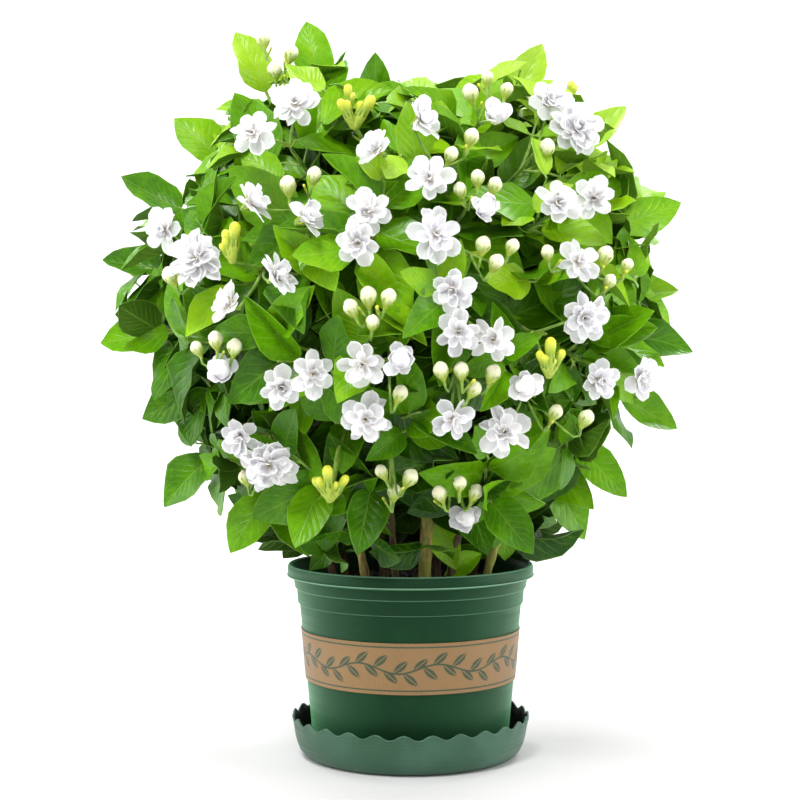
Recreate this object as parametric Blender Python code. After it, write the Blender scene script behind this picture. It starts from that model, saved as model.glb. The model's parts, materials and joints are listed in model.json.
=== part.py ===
"""A potted arabian jasmine in full bloom: saucer, pot, paper band, soil, leafy canes and flower sprays.

The origin is the middle of the saucer's underside, +Z is up, and the plant's front faces -Y.
"""

import math
import random

import bpy
from mathutils import Matrix, Vector
from mathutils.bvhtree import BVHTree

# Pot and saucer, in metres
seat_gap = 0.0003
rim_radius = 0.085
rim_top = 0.131
foot_radius = 0.0665
wall_top_radius = 0.0762
wall_top = 0.1045
wall = 0.002
pot_floor = 0.0025
saucer_floor = 0.0022
saucer_lip_radius = 0.0816
saucer_lip = 0.026
scallops = 27
scallop_rise = 0.0017
pot_sides = 32
drain_holes = 5
drain_hole_radius = 0.0045
drain_ring_radius = 0.042
band_low = 0.053
band_high = 0.087
band_thick = 0.0007
soil_top = 0.117
soil_rings = (1.0, 0.72, 0.38)
cane_hole_depth = 0.036
hole_sides = 6

# Plant, in metres
crown_centre = Vector((-0.009, 0.004, 0.318))
crown_size = Vector((0.196, 0.180, 0.178))
eye = Vector((-0.0072, -1.2, 0.2706))
leaf_length = 0.055
leaf_width_share = 0.62
leaf_thick = 0.0013
rib_drop = 0.10
tip_droop = 0.10
leaf_root = 0.0022
end_leaf_size = 0.85
stalk_radius = 0.0015
node_radius = 0.0026
fork_depth = 0.025
stalk_length = 0.011
pedicel_radius = 0.0010
shoot_radius = 0.0017
shoot_sides = 3
cane_sides = 5
bloom_radius = {
    "pompon": 0.0190,
    "double": 0.0175,
    "star": 0.0155,
    "loose": 0.0150,
    "rose": 0.0135,
    "side": 0.0150,
}
bloom_petals = {"pompon": 7, "double": 6, "star": 5, "loose": 5, "rose": 5, "side": 5}
bloom_cup = {"pompon": 0.22, "double": 0.10, "star": 0.05, "loose": 0.15, "rose": 0.50, "side": 0.20}
bloom_depth = 0.42
bud_length = {"bud": 0.0150, "green": 0.0130}
bud_radius = {"bud": 0.0046, "green": 0.0032}
seed = 20

# Where each cane leaves the soil, and its radius there
canes = (
    (-0.030, -0.038, 0.0030),
    (-0.010, -0.045, 0.0028),
    (0.009, -0.040, 0.0048),
    (0.027, -0.037, 0.0030),
    (0.051, -0.025, 0.0030),
    (-0.053, -0.008, 0.0030),
    (-0.045, 0.026, 0.0030),
    (-0.015, 0.045, 0.0032),
    (0.018, 0.046, 0.0030),
    (0.045, 0.027, 0.0032),
    (-0.018, 0.000, 0.0035),
    (0.018, 0.006, 0.0035),
)

# Front sprays. Each flower or bud is seen from the front at x and z on the upright plane through the pot's
# axis
front_sprays = (
    (("pompon", -0.147, 0.340), ("loose", -0.169, 0.360), ("bud", -0.165, 0.329)),
    (("pompon", 0.113, 0.429), ("loose", 0.095, 0.448), ("bud", 0.094, 0.417)),
    (("pompon", -0.097, 0.199), ("loose", -0.117, 0.218), ("bud", -0.114, 0.190)),
    (("double", -0.079, 0.446), ("star", -0.108, 0.426)),
    (("double", 0.017, 0.357), ("bud", 0.050, 0.350), ("bud", 0.059, 0.338), ("bud", 0.070, 0.349)),
    (("double", -0.031, 0.230), ("bud", -0.020, 0.194), ("bud", 0.000, 0.190), ("bud", -0.011, 0.180)),
    (("double", 0.119, 0.300), ("green", 0.093, 0.285), ("green", 0.087, 0.276), ("green", 0.101, 0.276)),
    (("double", 0.064, 0.221), ("rose", 0.079, 0.252), ("bud", 0.100, 0.235), ("bud", 0.121, 0.231)),
    (("side", 0.007, 0.435), ("star", 0.013, 0.395), ("bud", 0.028, 0.412), ("bud", 0.042, 0.424)),
    (
        ("star", 0.029, 0.230),
        ("bud", 0.021, 0.264),
        ("bud", 0.035, 0.264),
        ("bud", 0.044, 0.251),
        ("bud", 0.057, 0.262),
    ),
    (("star", -0.033, 0.268), ("rose", -0.008, 0.271), ("bud", -0.007, 0.248)),
    (
        ("star", 0.115, 0.338),
        ("bud", 0.134, 0.343),
        ("bud", 0.149, 0.336),
        ("bud", 0.137, 0.325),
        ("bud", 0.094, 0.345),
    ),
    (("star", 0.057, 0.285), ("loose", 0.033, 0.290), ("loose", 0.029, 0.319)),
    (("side", -0.023, 0.415), ("green", -0.042, 0.453), ("green", -0.047, 0.443), ("green", -0.026, 0.445)),
    (("side", -0.124, 0.309), ("side", -0.092, 0.328), ("green", -0.117, 0.360), ("green", -0.124, 0.350)),
    (("side", -0.073, 0.368), ("side", -0.110, 0.378), ("bud", -0.084, 0.391), ("bud", -0.066, 0.398)),
    (("rose", 0.058, 0.436), ("bud", 0.053, 0.464), ("bud", 0.041, 0.454), ("bud", 0.066, 0.456)),
    (("rose", 0.051, 0.373), ("bud", 0.046, 0.396), ("bud", 0.034, 0.388), ("bud", 0.058, 0.391)),
    (("rose", -0.130, 0.261), ("bud", -0.134, 0.285), ("bud", -0.147, 0.279), ("bud", -0.121, 0.280)),
    (("rose", 0.038, 0.161), ("bud", 0.034, 0.186), ("bud", 0.020, 0.179), ("bud", 0.045, 0.180)),
    (("loose", -0.029, 0.372), ("loose", -0.036, 0.351)),
    (("loose", 0.101, 0.379), ("loose", 0.126, 0.382)),
    (("loose", -0.089, 0.252), ("loose", -0.067, 0.261)),
    (("loose", 0.129, 0.257), ("loose", 0.158, 0.259)),
    (("bud", -0.029, 0.315), ("bud", -0.041, 0.307), ("bud", -0.015, 0.314), ("bud", -0.026, 0.297)),
    (("bud", -0.101, 0.490), ("bud", -0.082, 0.481), ("bud", -0.093, 0.470)),
    (("green", -0.055, 0.200), ("green", -0.063, 0.191), ("green", -0.043, 0.192)),
)

# Leafy tips that draw the bush's outline, by x and z on the same plane, with their depth in y
outline_tips = (
    (-0.108, 0.468, 0.000),
    (-0.066, 0.474, 0.020),
    (-0.022, 0.446, -0.010),
    (0.078, 0.460, 0.010),
    (-0.142, 0.415, 0.020),
    (-0.172, 0.380, -0.010),
    (-0.184, 0.334, 0.020),
    (-0.182, 0.286, -0.015),
    (-0.158, 0.244, 0.010),
    (-0.150, 0.192, -0.010),
    (-0.108, 0.165, -0.050),
    (0.128, 0.424, 0.020),
    (0.158, 0.366, 0.000),
    (0.156, 0.318, 0.030),
    (0.163, 0.283, -0.020),
    (0.160, 0.238, 0.020),
    (0.128, 0.200, -0.030),
    (0.106, 0.172, 0.010),
    (0.062, 0.158, -0.090),
    (-0.030, 0.166, -0.100),
    (-0.068, 0.170, -0.095),
)
outline_share = 0.91
back_sweep = 0.38
back_sprays = 14
back_tips = 6

# Shares of a shoot's length where its pairs of leaves stand
spray_leaves = (0.84,)
outline_leaves = (0.86, 0.62)

# Where leaves turn: on the outline to the front, at the back a little outward
outline_glance = Vector((0.0, -0.75, 0.0))
back_glance = Vector((0.0, 0.40, 0.0))
spray_glance = 0.2
air = 0.0003

nowhere = Vector((0.0, 0.0, 0.0))
up = Vector((0.0, 0.0, 1.0))


def dice(kind, number):
    """The seeded draws of one spray, shoot or leaf, which no other piece's draws can shift."""
    return random.Random(f"{seed} {kind} {number}")


def clear_scene():
    for thing in list(bpy.data.objects):
        bpy.data.objects.remove(thing)


def finish(name, colour, roughness):
    """A dielectric material with this linear colour."""
    material = bpy.data.materials.new(name)
    material.use_nodes = True
    shader = material.node_tree.nodes["Principled BSDF"]
    shader.inputs["Base Color"].default_value = (*colour, 1.0)
    shader.inputs["Roughness"].default_value = roughness
    shader.inputs["Metallic"].default_value = 0.0
    return material


def solid(name, piece, material, collection=None, smooth_above=None):
    """An object from a piece, which is a list of points and a list of faces."""
    points, faces = piece
    mesh = bpy.data.meshes.new(name)
    mesh.from_pydata([tuple(point) for point in points], [], faces)
    mesh.materials.append(material)
    if smooth_above is not None:
        mesh.shade_smooth()
        mesh.set_sharp_from_angle(angle=math.radians(smooth_above))
    thing = bpy.data.objects.new(name, mesh)
    (collection or bpy.context.scene.collection).objects.link(thing)
    return thing


def apply_boolean(thing, operation, helpers, solver):
    """Joins or cuts every helper in one Boolean, and removes the helpers."""
    modifier = thing.modifiers.new(operation, "BOOLEAN")
    modifier.operation = operation
    modifier.solver = solver
    modifier.operand_type = "COLLECTION"
    modifier.collection = helpers
    bpy.context.view_layer.objects.active = thing
    bpy.ops.object.modifier_apply(modifier=modifier.name)
    for helper in list(helpers.objects):
        bpy.data.objects.remove(helper)
    bpy.data.collections.remove(helpers)


def helper_collection(name):
    helpers = bpy.data.collections.new(name)
    bpy.context.scene.collection.children.link(helpers)
    return helpers


def fused(name, pieces, material):
    """One solid from overlapping pieces. The many unions are quick with the MANIFOLD solver."""
    helpers = helper_collection(name + "_parts")
    first = solid(name, pieces[0], material)
    for number, piece in enumerate(pieces[1:]):
        solid(f"{name}_part_{number}", piece, material, helpers)
    apply_boolean(first, "UNION", helpers, "MANIFOLD")
    return first


def turned(profile, steps, lift=None):
    """A solid turned round Z from a profile of (radius, height) that runs up the outside and down the inside.

    lift(index, angle) raises a point of the profile, for a waved lip.
    """
    points = []
    faces = []
    for step in range(steps):
        angle = 2 * math.pi * step / steps
        for index, (radius, height) in enumerate(profile):
            rise = lift(index, angle) if lift else 0.0
            points.append((radius * math.cos(angle), radius * math.sin(angle), height + rise))
    count = len(profile)
    for step in range(steps):
        here = step * count
        there = (step + 1) % steps * count
        for index in range(count - 1):
            faces.append((here + index, there + index, there + index + 1, here + index + 1))
    faces.append([step * count for step in reversed(range(steps))])
    faces.append([step * count + count - 1 for step in range(steps)])
    return points, faces


def frame_round(direction, hint=up):
    """Two directions at right angles to this one and to each other."""
    along = direction.normalized()
    side = along.cross(hint)
    if side.length < 0.01:
        side = along.cross(Vector((0.0, 1.0, 0.0)))
    side.normalize()
    return side, side.cross(along)


def outward(piece):
    """The same piece with its faces turned out, found from the sign of its volume."""
    points, faces = piece
    volume = 0.0
    for face in faces:
        for index in range(1, len(face) - 1):
            a, b, c = (Vector(points[corner]) for corner in (face[0], face[index], face[index + 1]))
            volume += a.dot(b.cross(c))
    if volume < 0:
        faces = [tuple(reversed(face)) for face in faces]
    return points, faces


def headings(path, side):
    """For each straight run of a path: its direction and a side direction that follows without twisting."""
    runs = []
    for here, there in zip(path, path[1:]):
        along = (there - here).normalized()
        side = (side - along * side.dot(along)).normalized()
        runs.append((along, side))
    return runs


class Skin:
    """One closed surface that grows ring by ring."""

    def __init__(self):
        self.points = []
        self.faces = []

    def spot(self, point):
        self.points.append(point)
        return len(self.points) - 1

    def ring(self, centre, along, side, radius, sides):
        lift = side.cross(along)
        corners = []
        for corner in range(sides):
            angle = 2 * math.pi * corner / sides
            corners.append(self.spot(centre + (side * math.cos(angle) + lift * math.sin(angle)) * radius))
        return corners

    def wall(self, inner, outer, skip=()):
        for corner in range(len(inner)):
            if corner in skip:
                continue
            after = (corner + 1) % len(inner)
            self.faces.append((inner[corner], outer[corner], outer[after], inner[after]))

    def zip_rings(self, inner, outer):
        """Triangles between two rings of different counts."""
        i = 0
        j = 0
        while i < len(inner) or j < len(outer):
            step_outer = (j + 1) / len(outer) <= (i + 1) / len(inner)
            here = inner[i % len(inner)]
            there = outer[j % len(outer)]
            if step_outer:
                self.faces.append((here, there, outer[(j + 1) % len(outer)]))
                j += 1
            else:
                self.faces.append((here, there, inner[(i + 1) % len(inner)]))
                i += 1

    def cone(self, ring, tip):
        top = self.spot(tip)
        for corner in range(len(ring)):
            self.faces.append((ring[corner], top, ring[(corner + 1) % len(ring)]))

    def piece(self):
        return outward((self.points, self.faces))


def rod(path, radii, sides, side=None):
    """A rod of flat sides along a path, with flat ends."""
    skin = Skin()
    side = side or frame_round(path[1] - path[0])[0]
    runs = headings(path, side)
    last = None
    for index, centre in enumerate(path):
        before = runs[max(index - 1, 0)]
        after = runs[min(index, len(runs) - 1)]
        along = (before[0] + after[0]).normalized()
        level = (after[1] - along * after[1].dot(along)).normalized()
        ring = skin.ring(centre, along, level, radii[index], sides)
        if last is None:
            skin.faces.append(ring)
        else:
            skin.wall(last, ring)
        last = ring
    skin.faces.append(list(reversed(last)))
    return skin.piece()


def leaf_sections(root, along, face, length, width, wave):
    """Two sections and the tip of an ovate blade, folded up from its rib, with waved edges.

    A section's corners are its right edge, upper rib, left edge and lower rib.
    """
    along = along.normalized()
    face = (face - along * face.dot(along)).normalized()
    side = along.cross(face)
    sections = []
    widest = (0.32, 0.50, 0.03 - wave, 0.03 + wave)
    narrower = (0.70, 0.39, wave, -wave)
    for reach, out, right_rise, left_rise in (widest, narrower):
        middle = root + along * (reach * length)
        rib = middle - face * (rib_drop * width)
        sections.append((
            middle - side * (out * width) + face * (right_rise * length),
            rib + face * (0.5 * leaf_thick),
            middle + side * (out * width) + face * (left_rise * length),
            rib - face * (0.5 * leaf_thick),
        ))
    tip = root + along * length - face * (tip_droop * length)
    return sections, tip


def blade_walls(inner, outer):
    """Faces from one section to the next, split alike on the blade's two sides."""
    return [
        (inner[0], inner[1], outer[1]),
        (inner[0], outer[1], outer[0]),
        (inner[1], inner[2], outer[1]),
        (inner[2], outer[2], outer[1]),
        (inner[2], inner[3], outer[3]),
        (inner[2], outer[3], outer[2]),
        (inner[3], inner[0], outer[3]),
        (inner[0], outer[0], outer[3]),
    ]


def grow_leaf(skin, loop, blade):
    """A leaf that grows out of four corners of a shoot's skin, given in the order that faces outward."""
    sections, tip = leaf_sections(*blade)
    best = None
    for shift in range(4):
        turned_loop = loop[shift:] + loop[:shift]
        twist = sum((skin.points[corner] - spot).length for corner, spot in zip(turned_loop, sections[0]))
        if best is None or twist < best[0]:
            best = (twist, turned_loop)
    inner = best[1]
    for section in sections:
        outer = [skin.spot(point) for point in section]
        skin.faces += blade_walls(inner, outer)
        inner = outer
    end = skin.spot(tip)
    for corner in range(4):
        skin.faces.append((inner[corner], inner[(corner + 1) % 4], end))


def grow_end_leaf(skin, loop, blade):
    """A leaf that grows out of a shoot's three-cornered end."""
    sections, tip = leaf_sections(*blade)
    outer = [skin.spot(point) for point in sections[0]]
    best = None
    for shift in range(3):
        turned_loop = loop[shift:] + loop[:shift]
        twist = sum((skin.points[turned_loop[i]] - sections[0][j]).length for i, j in ((0, 0), (1, 2)))
        if best is None or twist < best[0]:
            best = (twist, turned_loop)
    right, left, under = best[1]
    skin.faces += [
        (right, outer[1], outer[0]),
        (right, left, outer[1]),
        (left, outer[2], outer[1]),
        (left, outer[3], outer[2]),
        (left, under, outer[3]),
        (under, right, outer[3]),
        (right, outer[0], outer[3]),
    ]
    inner = outer
    outer = [skin.spot(point) for point in sections[1]]
    skin.faces += blade_walls(inner, outer)
    end = skin.spot(tip)
    for corner in range(4):
        skin.faces.append((outer[corner], outer[(corner + 1) % 4], end))


def bare_leaf(root, along, face, length, width, wave):
    """A leaf by itself, for finding out whether it would cross anything."""
    sections, tip = leaf_sections(root, along, face, length, width, wave)
    points = [root, *sections[0], *sections[1], tip]
    faces = [(0, 1 + (corner + 1) % 4, 1 + corner) for corner in range(4)]
    faces = [tuple(reversed(face)) for face in faces]
    faces += blade_walls([1, 2, 3, 4], [5, 6, 7, 8])
    faces += [(5 + corner, 5 + (corner + 1) % 4, 9) for corner in range(4)]
    return outward((points, faces))


def leafy_rod(path, radii, side, leaves, end_leaf):
    """A shoot with its leaves in one skin. leaves holds (distance along the path, corner number, blade)."""
    skin = Skin()
    runs = headings(path, side)
    stations = []
    travelled = 0.0
    for index, point in enumerate(path):
        if index:
            travelled += (point - path[index - 1]).length
        before = runs[max(index - 1, 0)]
        after = runs[min(index, len(runs) - 1)]
        along = (before[0] + after[0]).normalized()
        level = (after[1] - along * after[1].dot(along)).normalized()
        stations.append((travelled, point, along, level, ()))
    for distance in sorted({leaf[0] for leaf in leaves}):
        group = [leaf for leaf in leaves if leaf[0] == distance]
        for offset, carried in ((-0.5 * leaf_root, group), (0.5 * leaf_root, ())):
            point, run = along_path(path, distance + offset)
            stations.append((distance + offset, point, runs[run][0], runs[run][1], carried))
    stations.sort(key=lambda station: station[0])
    total = stations[-1][0]
    last = None
    carried = ()
    for distance, point, along, level, starts in stations:
        radius = radii[0] + (radii[1] - radii[0]) * distance / total
        ring = skin.ring(point, along, level, radius, shoot_sides)
        if last is None:
            skin.faces.append(ring)
        else:
            skin.wall(last, ring, [leaf[1] for leaf in carried])
            for _, corner, blade in carried:
                after = (corner + 1) % shoot_sides
                grow_leaf(skin, [last[corner], ring[corner], ring[after], last[after]], blade)
        last = ring
        carried = starts
    if end_leaf:
        grow_end_leaf(skin, list(reversed(last)), end_leaf)
    else:
        skin.faces.append(list(reversed(last)))
    return skin.piece()


def stem_radii(count, last):
    """Radii along a flower's stem. The one that starts as the spray's stalk swells where the others fork."""
    if count > 3:
        return [stalk_radius, node_radius] + [pedicel_radius] * (count - 3) + [last]
    return [pedicel_radius] * (count - 1) + [last]


def open_flower(path, facing, kind, turn):
    """A flower on its pedicel: an outer whorl of notched petals, and an inner crown of petal tips."""
    radius = bloom_radius[kind]
    petals = bloom_petals[kind]
    cup = bloom_cup[kind]
    centre = path[-1]
    skin = Skin()
    side, lift = frame_round(facing)
    path = path[:-1] + [centre - facing * (bloom_depth * radius)]
    radii = stem_radii(len(path), 1.5 * pedicel_radius)
    runs = headings(path, (side * math.cos(turn) + lift * math.sin(turn)))
    last = None
    for index, point in enumerate(path):
        along, level = runs[max(index - 1, 0)]
        ring = skin.ring(point, along, level, radii[index], 3)
        if last is None:
            skin.faces.append(ring)
        else:
            skin.wall(last, ring)
        last = ring

    def place(angle, reach, height):
        around = side * math.cos(angle) + lift * math.sin(angle)
        return centre + around * (reach * radius) + facing * (height * radius)

    step = 2 * math.pi / petals
    edge = []
    for petal in range(petals):
        middle = turn + petal * step
        sway = 0.06 if petal % 2 else -0.04
        edge.append(skin.spot(place(middle - 0.50 * step, 0.50, 0.00)))
        edge.append(skin.spot(place(middle - 0.25 * step, 0.96, cup + sway)))
        edge.append(skin.spot(place(middle + 0.25 * step, 1.00, cup - sway)))
    skin.zip_rings(last, edge)
    crown = [skin.spot(place(turn + (petal - 0.5) * step, 0.50, 0.42 + 0.3 * cup)) for petal in range(petals)]
    for petal in range(petals):
        notch = 3 * petal
        following = (notch + 3) % len(edge)
        here = crown[petal]
        there = crown[(petal + 1) % petals]
        skin.faces.append((edge[notch], here, edge[notch + 1]))
        skin.faces.append((edge[notch + 1], here, edge[notch + 2]))
        skin.faces.append((edge[notch + 2], here, there))
        skin.faces.append((edge[notch + 2], there, edge[following]))
    skin.cone(crown, place(0.0, 0.0, 0.18))
    return skin.piece()


def closed_bud(path, along, kind):
    """A bud on its pedicel, fullest at its middle and drawn to a point."""
    length = bud_length[kind]
    radius = bud_radius[kind]
    skin = Skin()
    side = frame_round(along)[0]
    foot = path[-1]
    stations = list(zip(path, stem_radii(len(path), 0.45 * radius)))
    stations.append((foot + along * (0.52 * length), radius))
    runs = headings([point for point, _ in stations], side)
    last = None
    for index, (point, thick) in enumerate(stations):
        heading, level = runs[max(index - 1, 0)]
        ring = skin.ring(point, heading, level, thick, 4)
        if last is None:
            skin.faces.append(ring)
        else:
            skin.wall(last, ring)
        last = ring
    skin.cone(last, foot + along * length)
    return skin.piece()


def curve(start, leave, arrive, end, steps):
    """Points of a cubic curve from start to end, with the two handles given as offsets."""
    first = start + leave
    second = end - arrive
    path = []
    for step in range(steps + 1):
        t = step / steps
        s = 1 - t
        path.append(start * s ** 3 + first * (3 * s * s * t) + second * (3 * s * t * t) + end * t ** 3)
    return path


def path_length(path):
    return sum((there - here).length for here, there in zip(path, path[1:]))


def along_path(path, distance):
    """The point at this distance along a path, and the number of its straight run."""
    for index, (here, there) in enumerate(zip(path, path[1:])):
        length = (there - here).length
        if distance <= length or index == len(path) - 2:
            return here + (there - here) * (min(distance, length) / length), index
        distance -= length


def crown_normal(point):
    offset = point - crown_centre
    return Vector([offset[i] / crown_size[i] ** 2 for i in range(3)]).normalized()


def on_crown(x, z, size=1.0):
    """The point of the crown's front that is seen at x and z of the upright plane."""
    sight = (Vector((x, 0.0, z)) - eye).normalized()
    start = eye - crown_centre
    scaled_start = Vector([start[i] / (crown_size[i] * size) for i in range(3)])
    scaled_sight = Vector([sight[i] / (crown_size[i] * size) for i in range(3)])
    a = scaled_sight.dot(scaled_sight)
    b = scaled_start.dot(scaled_sight)
    root = b * b - a * (scaled_start.dot(scaled_start) - 1)
    reach = (-b - math.sqrt(max(root, 0.0))) / a
    return eye + sight * reach


def tree_of(piece):
    points, faces = piece
    return BVHTree.FromPolygons([tuple(point) for point in points], faces)


class Bush:
    """What is already placed, so that nothing new crosses it."""

    def __init__(self):
        self.placed = []

    def add(self, owner, piece):
        points = [Vector(point) for point in piece[0]]
        low = Vector([min(point[i] for point in points) for i in range(3)])
        high = Vector([max(point[i] for point in points) for i in range(3)])
        self.placed.append((owner, low, high, tree_of(piece)))

    def is_clear(self, piece, ignore=()):
        points = [Vector(point) for point in piece[0]]
        low = [min(point[i] for point in points) - 0.0005 for i in range(3)]
        high = [max(point[i] for point in points) + 0.0005 for i in range(3)]
        tree = None
        for owner, other_low, other_high, other in self.placed:
            if owner in ignore:
                continue
            if any(low[i] > other_high[i] or high[i] < other_low[i] for i in range(3)):
                continue
            tree = tree or tree_of(piece)
            if tree.overlap(other):
                return False
        return True


def grown(piece, by):
    """The same piece swollen from its middle line, to leave a little air round it."""
    points, faces = piece
    mesh = bpy.data.meshes.new("grown")
    mesh.from_pydata([tuple(point) for point in points], [], faces)
    mesh.update()
    swollen = [vertex.co + vertex.normal * by for vertex in mesh.vertices]
    bpy.data.meshes.remove(mesh)
    return swollen, faces


def make_saucer(material):
    profile = (
        (0.0700, 0.0),
        (0.0765, 0.005),
        (0.0797, 0.015),
        (saucer_lip_radius, saucer_lip),
        (saucer_lip_radius - 0.0018, saucer_lip),
        (0.0778, 0.0155),
        (0.0745, 0.0065),
        (0.0690, saucer_floor),
    )

    def lift(index, angle):
        return scallop_rise * math.cos(scallops * angle) if index in (3, 4) else 0.0

    return solid("saucer", turned(profile, 2 * scallops, lift), material, smooth_above=35)


def wall_radius(height):
    share = (height - saucer_floor) / (wall_top - saucer_floor)
    return foot_radius + share * (wall_top_radius - foot_radius)


def make_pot(material):
    base = saucer_floor + seat_gap
    inner = base + pot_floor
    profile = (
        (foot_radius - 0.0015, base),
        (wall_radius(base + 0.002), base + 0.002),
        (wall_top_radius, wall_top),
        (wall_top_radius + 0.0011, wall_top + 0.0008),
        (wall_top_radius + 0.0019, 0.1145),
        (wall_top_radius + 0.0032, 0.1153),
        (rim_radius - 0.0040, 0.1222),
        (rim_radius, 0.1245),
        (rim_radius - 0.0006, rim_top - 0.0008),
        (rim_radius - 0.0035, rim_top),
        (rim_radius - 0.0062, 0.1200),
        (wall_top_radius - wall, wall_top),
        (wall_radius(inner) - wall, inner),
    )
    pot = solid("pot", turned(profile, pot_sides), material)
    helpers = helper_collection("drains")
    for number in range(drain_holes):
        angle = 2 * math.pi * (number + 0.5) / drain_holes
        place = Vector((drain_ring_radius * math.cos(angle), drain_ring_radius * math.sin(angle), 0.0))
        path = [place + up * (base - 0.002), place + up * (inner + 0.002)]
        solid(f"drain_{number}", rod(path, (drain_hole_radius,) * 2, 6), material, helpers)
    apply_boolean(pot, "DIFFERENCE", helpers, "EXACT")
    pot.data.shade_smooth()
    pot.data.set_sharp_from_angle(angle=math.radians(35))
    return pot


def make_band(material):
    inner_low = wall_radius(band_low) + seat_gap
    inner_high = wall_radius(band_high) + seat_gap
    steps = pot_sides
    points = []
    faces = []
    for step in range(steps):
        angle = 2 * math.pi * step / steps
        for radius, height in (
            (inner_low, band_low),
            (inner_low + band_thick, band_low),
            (inner_high + band_thick, band_high),
            (inner_high, band_high),
        ):
            points.append((radius * math.cos(angle), radius * math.sin(angle), height))
    for step in range(steps):
        here = 4 * step
        there = 4 * ((step + 1) % steps)
        for index in range(4):
            after = (index + 1) % 4
            faces.append((here + index, there + index, there + after, here + after))
    return solid("label_band", outward((points, faces)), material, smooth_above=35)


def soil_height(x, y):
    """Low crumbly mounds, from a few waves of different lengths."""
    mounds = 0.0016 * math.sin(90 * x + 1.0) * math.cos(75 * y)
    crumbs = 0.0010 * math.sin(210 * x + 160 * y)
    return soil_top + mounds + crumbs


def make_soil(material):
    low = saucer_floor + seat_gap + pot_floor + seat_gap
    steps = pot_sides // 2
    bend = wall_top_radius - wall - seat_gap
    top_radius = bend + 0.0022
    points = [(0.0, 0.0, low)]
    faces = []
    for level_radius, height in ((wall_radius(low) - wall - seat_gap, low), (bend, wall_top)):
        for step in range(steps):
            angle = 2 * math.pi * step / steps
            points.append((level_radius * math.cos(angle), level_radius * math.sin(angle), height))
    for share in soil_rings:
        for step in range(steps):
            angle = 2 * math.pi * step / steps
            x = top_radius * share * math.cos(angle)
            y = top_radius * share * math.sin(angle)
            points.append((x, y, soil_height(x, y)))
    points.append((0.0, 0.0, soil_height(0.0, 0.0)))
    last = len(points) - 1
    for step in range(steps):
        after = (step + 1) % steps
        faces.append((0, 1 + after, 1 + step))
        for level in range(1 + len(soil_rings)):
            here = 1 + level * steps
            there = here + steps
            faces.append((here + step, here + after, there + after, there + step))
        inmost = last - steps
        faces.append((inmost + step, inmost + after, last))
    soil = solid("soil", outward((points, faces)), material)
    helpers = helper_collection("cane_holes")
    for number, (x, y, radius) in enumerate(canes):
        foot = Vector((x, y, soil_top - cane_hole_depth))
        path = [foot, foot + up * (cane_hole_depth + 0.01)]
        corner = (radius + seat_gap) / math.cos(math.pi / hole_sides)
        solid(f"cane_hole_{number}", rod(path, (corner, corner), hole_sides), material, helpers)
    apply_boolean(soil, "DIFFERENCE", helpers, "EXACT")
    soil.data.shade_smooth()
    soil.data.set_sharp_from_angle(angle=math.radians(40))
    return soil


def as_piece(thing):
    points = [vertex.co.copy() for vertex in thing.data.vertices]
    faces = [tuple(polygon.vertices) for polygon in thing.data.polygons]
    return points, faces


def spray_plan(flowers):
    """Where a spray's fork, root and flowers are, from the flowers as seen from the front."""
    heads = []
    for kind, x, z in flowers:
        closed = kind in bud_length
        spot = on_crown(x, z, 0.985 if closed else 1.0)
        heads.append((kind, spot))
    middle = sum((spot for _, spot in heads), nowhere) / len(heads)
    return heads, middle


def build_spray(number, heads, middle):
    """The pieces of one spray, and the point and direction where a shoot carries it."""
    out = crown_normal(middle)
    fork = middle - out * fork_depth
    root = fork - out * stalk_length
    pieces = []
    draw = dice("spray", number)
    for index, (kind, spot) in enumerate(heads):
        towards = crown_normal(spot)
        view = (eye - spot).normalized() if spot.y < 0.03 else towards
        jitter = Vector([draw.uniform(-0.25, 0.25) for _ in range(3)])
        start = [root, fork] if index == 0 else [fork]
        if kind in bud_length:
            along = ((spot - fork).normalized() * 0.6 + towards * 0.5 + up * 0.6 + jitter * 0.6).normalized()
            foot = spot - along * (0.5 * bud_length[kind])
            if index == 0:
                start.append(fork.lerp(foot, 0.5) + out * 0.003)
            pieces.append(closed_bud(start + [foot], along, kind))
            continue
        facing = towards * 0.6 + view * 0.8 + jitter
        if kind == "side":
            side, lift = frame_round(view)
            facing = facing * 0.4 + side * draw.choice((-1.0, 1.0)) * 0.8 + lift * 0.35
        facing.normalize()
        calyx = spot - facing * (bloom_depth * bloom_radius[kind])
        bend = fork.lerp(calyx, 0.55) + out * 0.002 - facing * 0.002
        pieces.append(open_flower(start + [bend, spot], facing, kind, draw.uniform(0, 1.2)))
    return pieces, root, out


def choose_canes(tips):
    """Shares the shoots out among the canes, nearest direction first, with a limit on each cane."""
    limit = math.ceil(len(tips) / len(canes)) + 1
    pairs = []
    for index, tip in enumerate(tips):
        flat = Vector((tip.x - crown_centre.x, tip.y - crown_centre.y))
        for number, (x, y, _) in enumerate(canes):
            pairs.append(((flat - Vector((x, y)) * 3.0).length, index, number))
    pairs.sort()
    chosen = {}
    load = [0] * len(canes)
    for _, index, number in pairs:
        if index in chosen or load[number] >= limit:
            continue
        chosen[index] = number
        load[number] += 1
    return chosen


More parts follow.
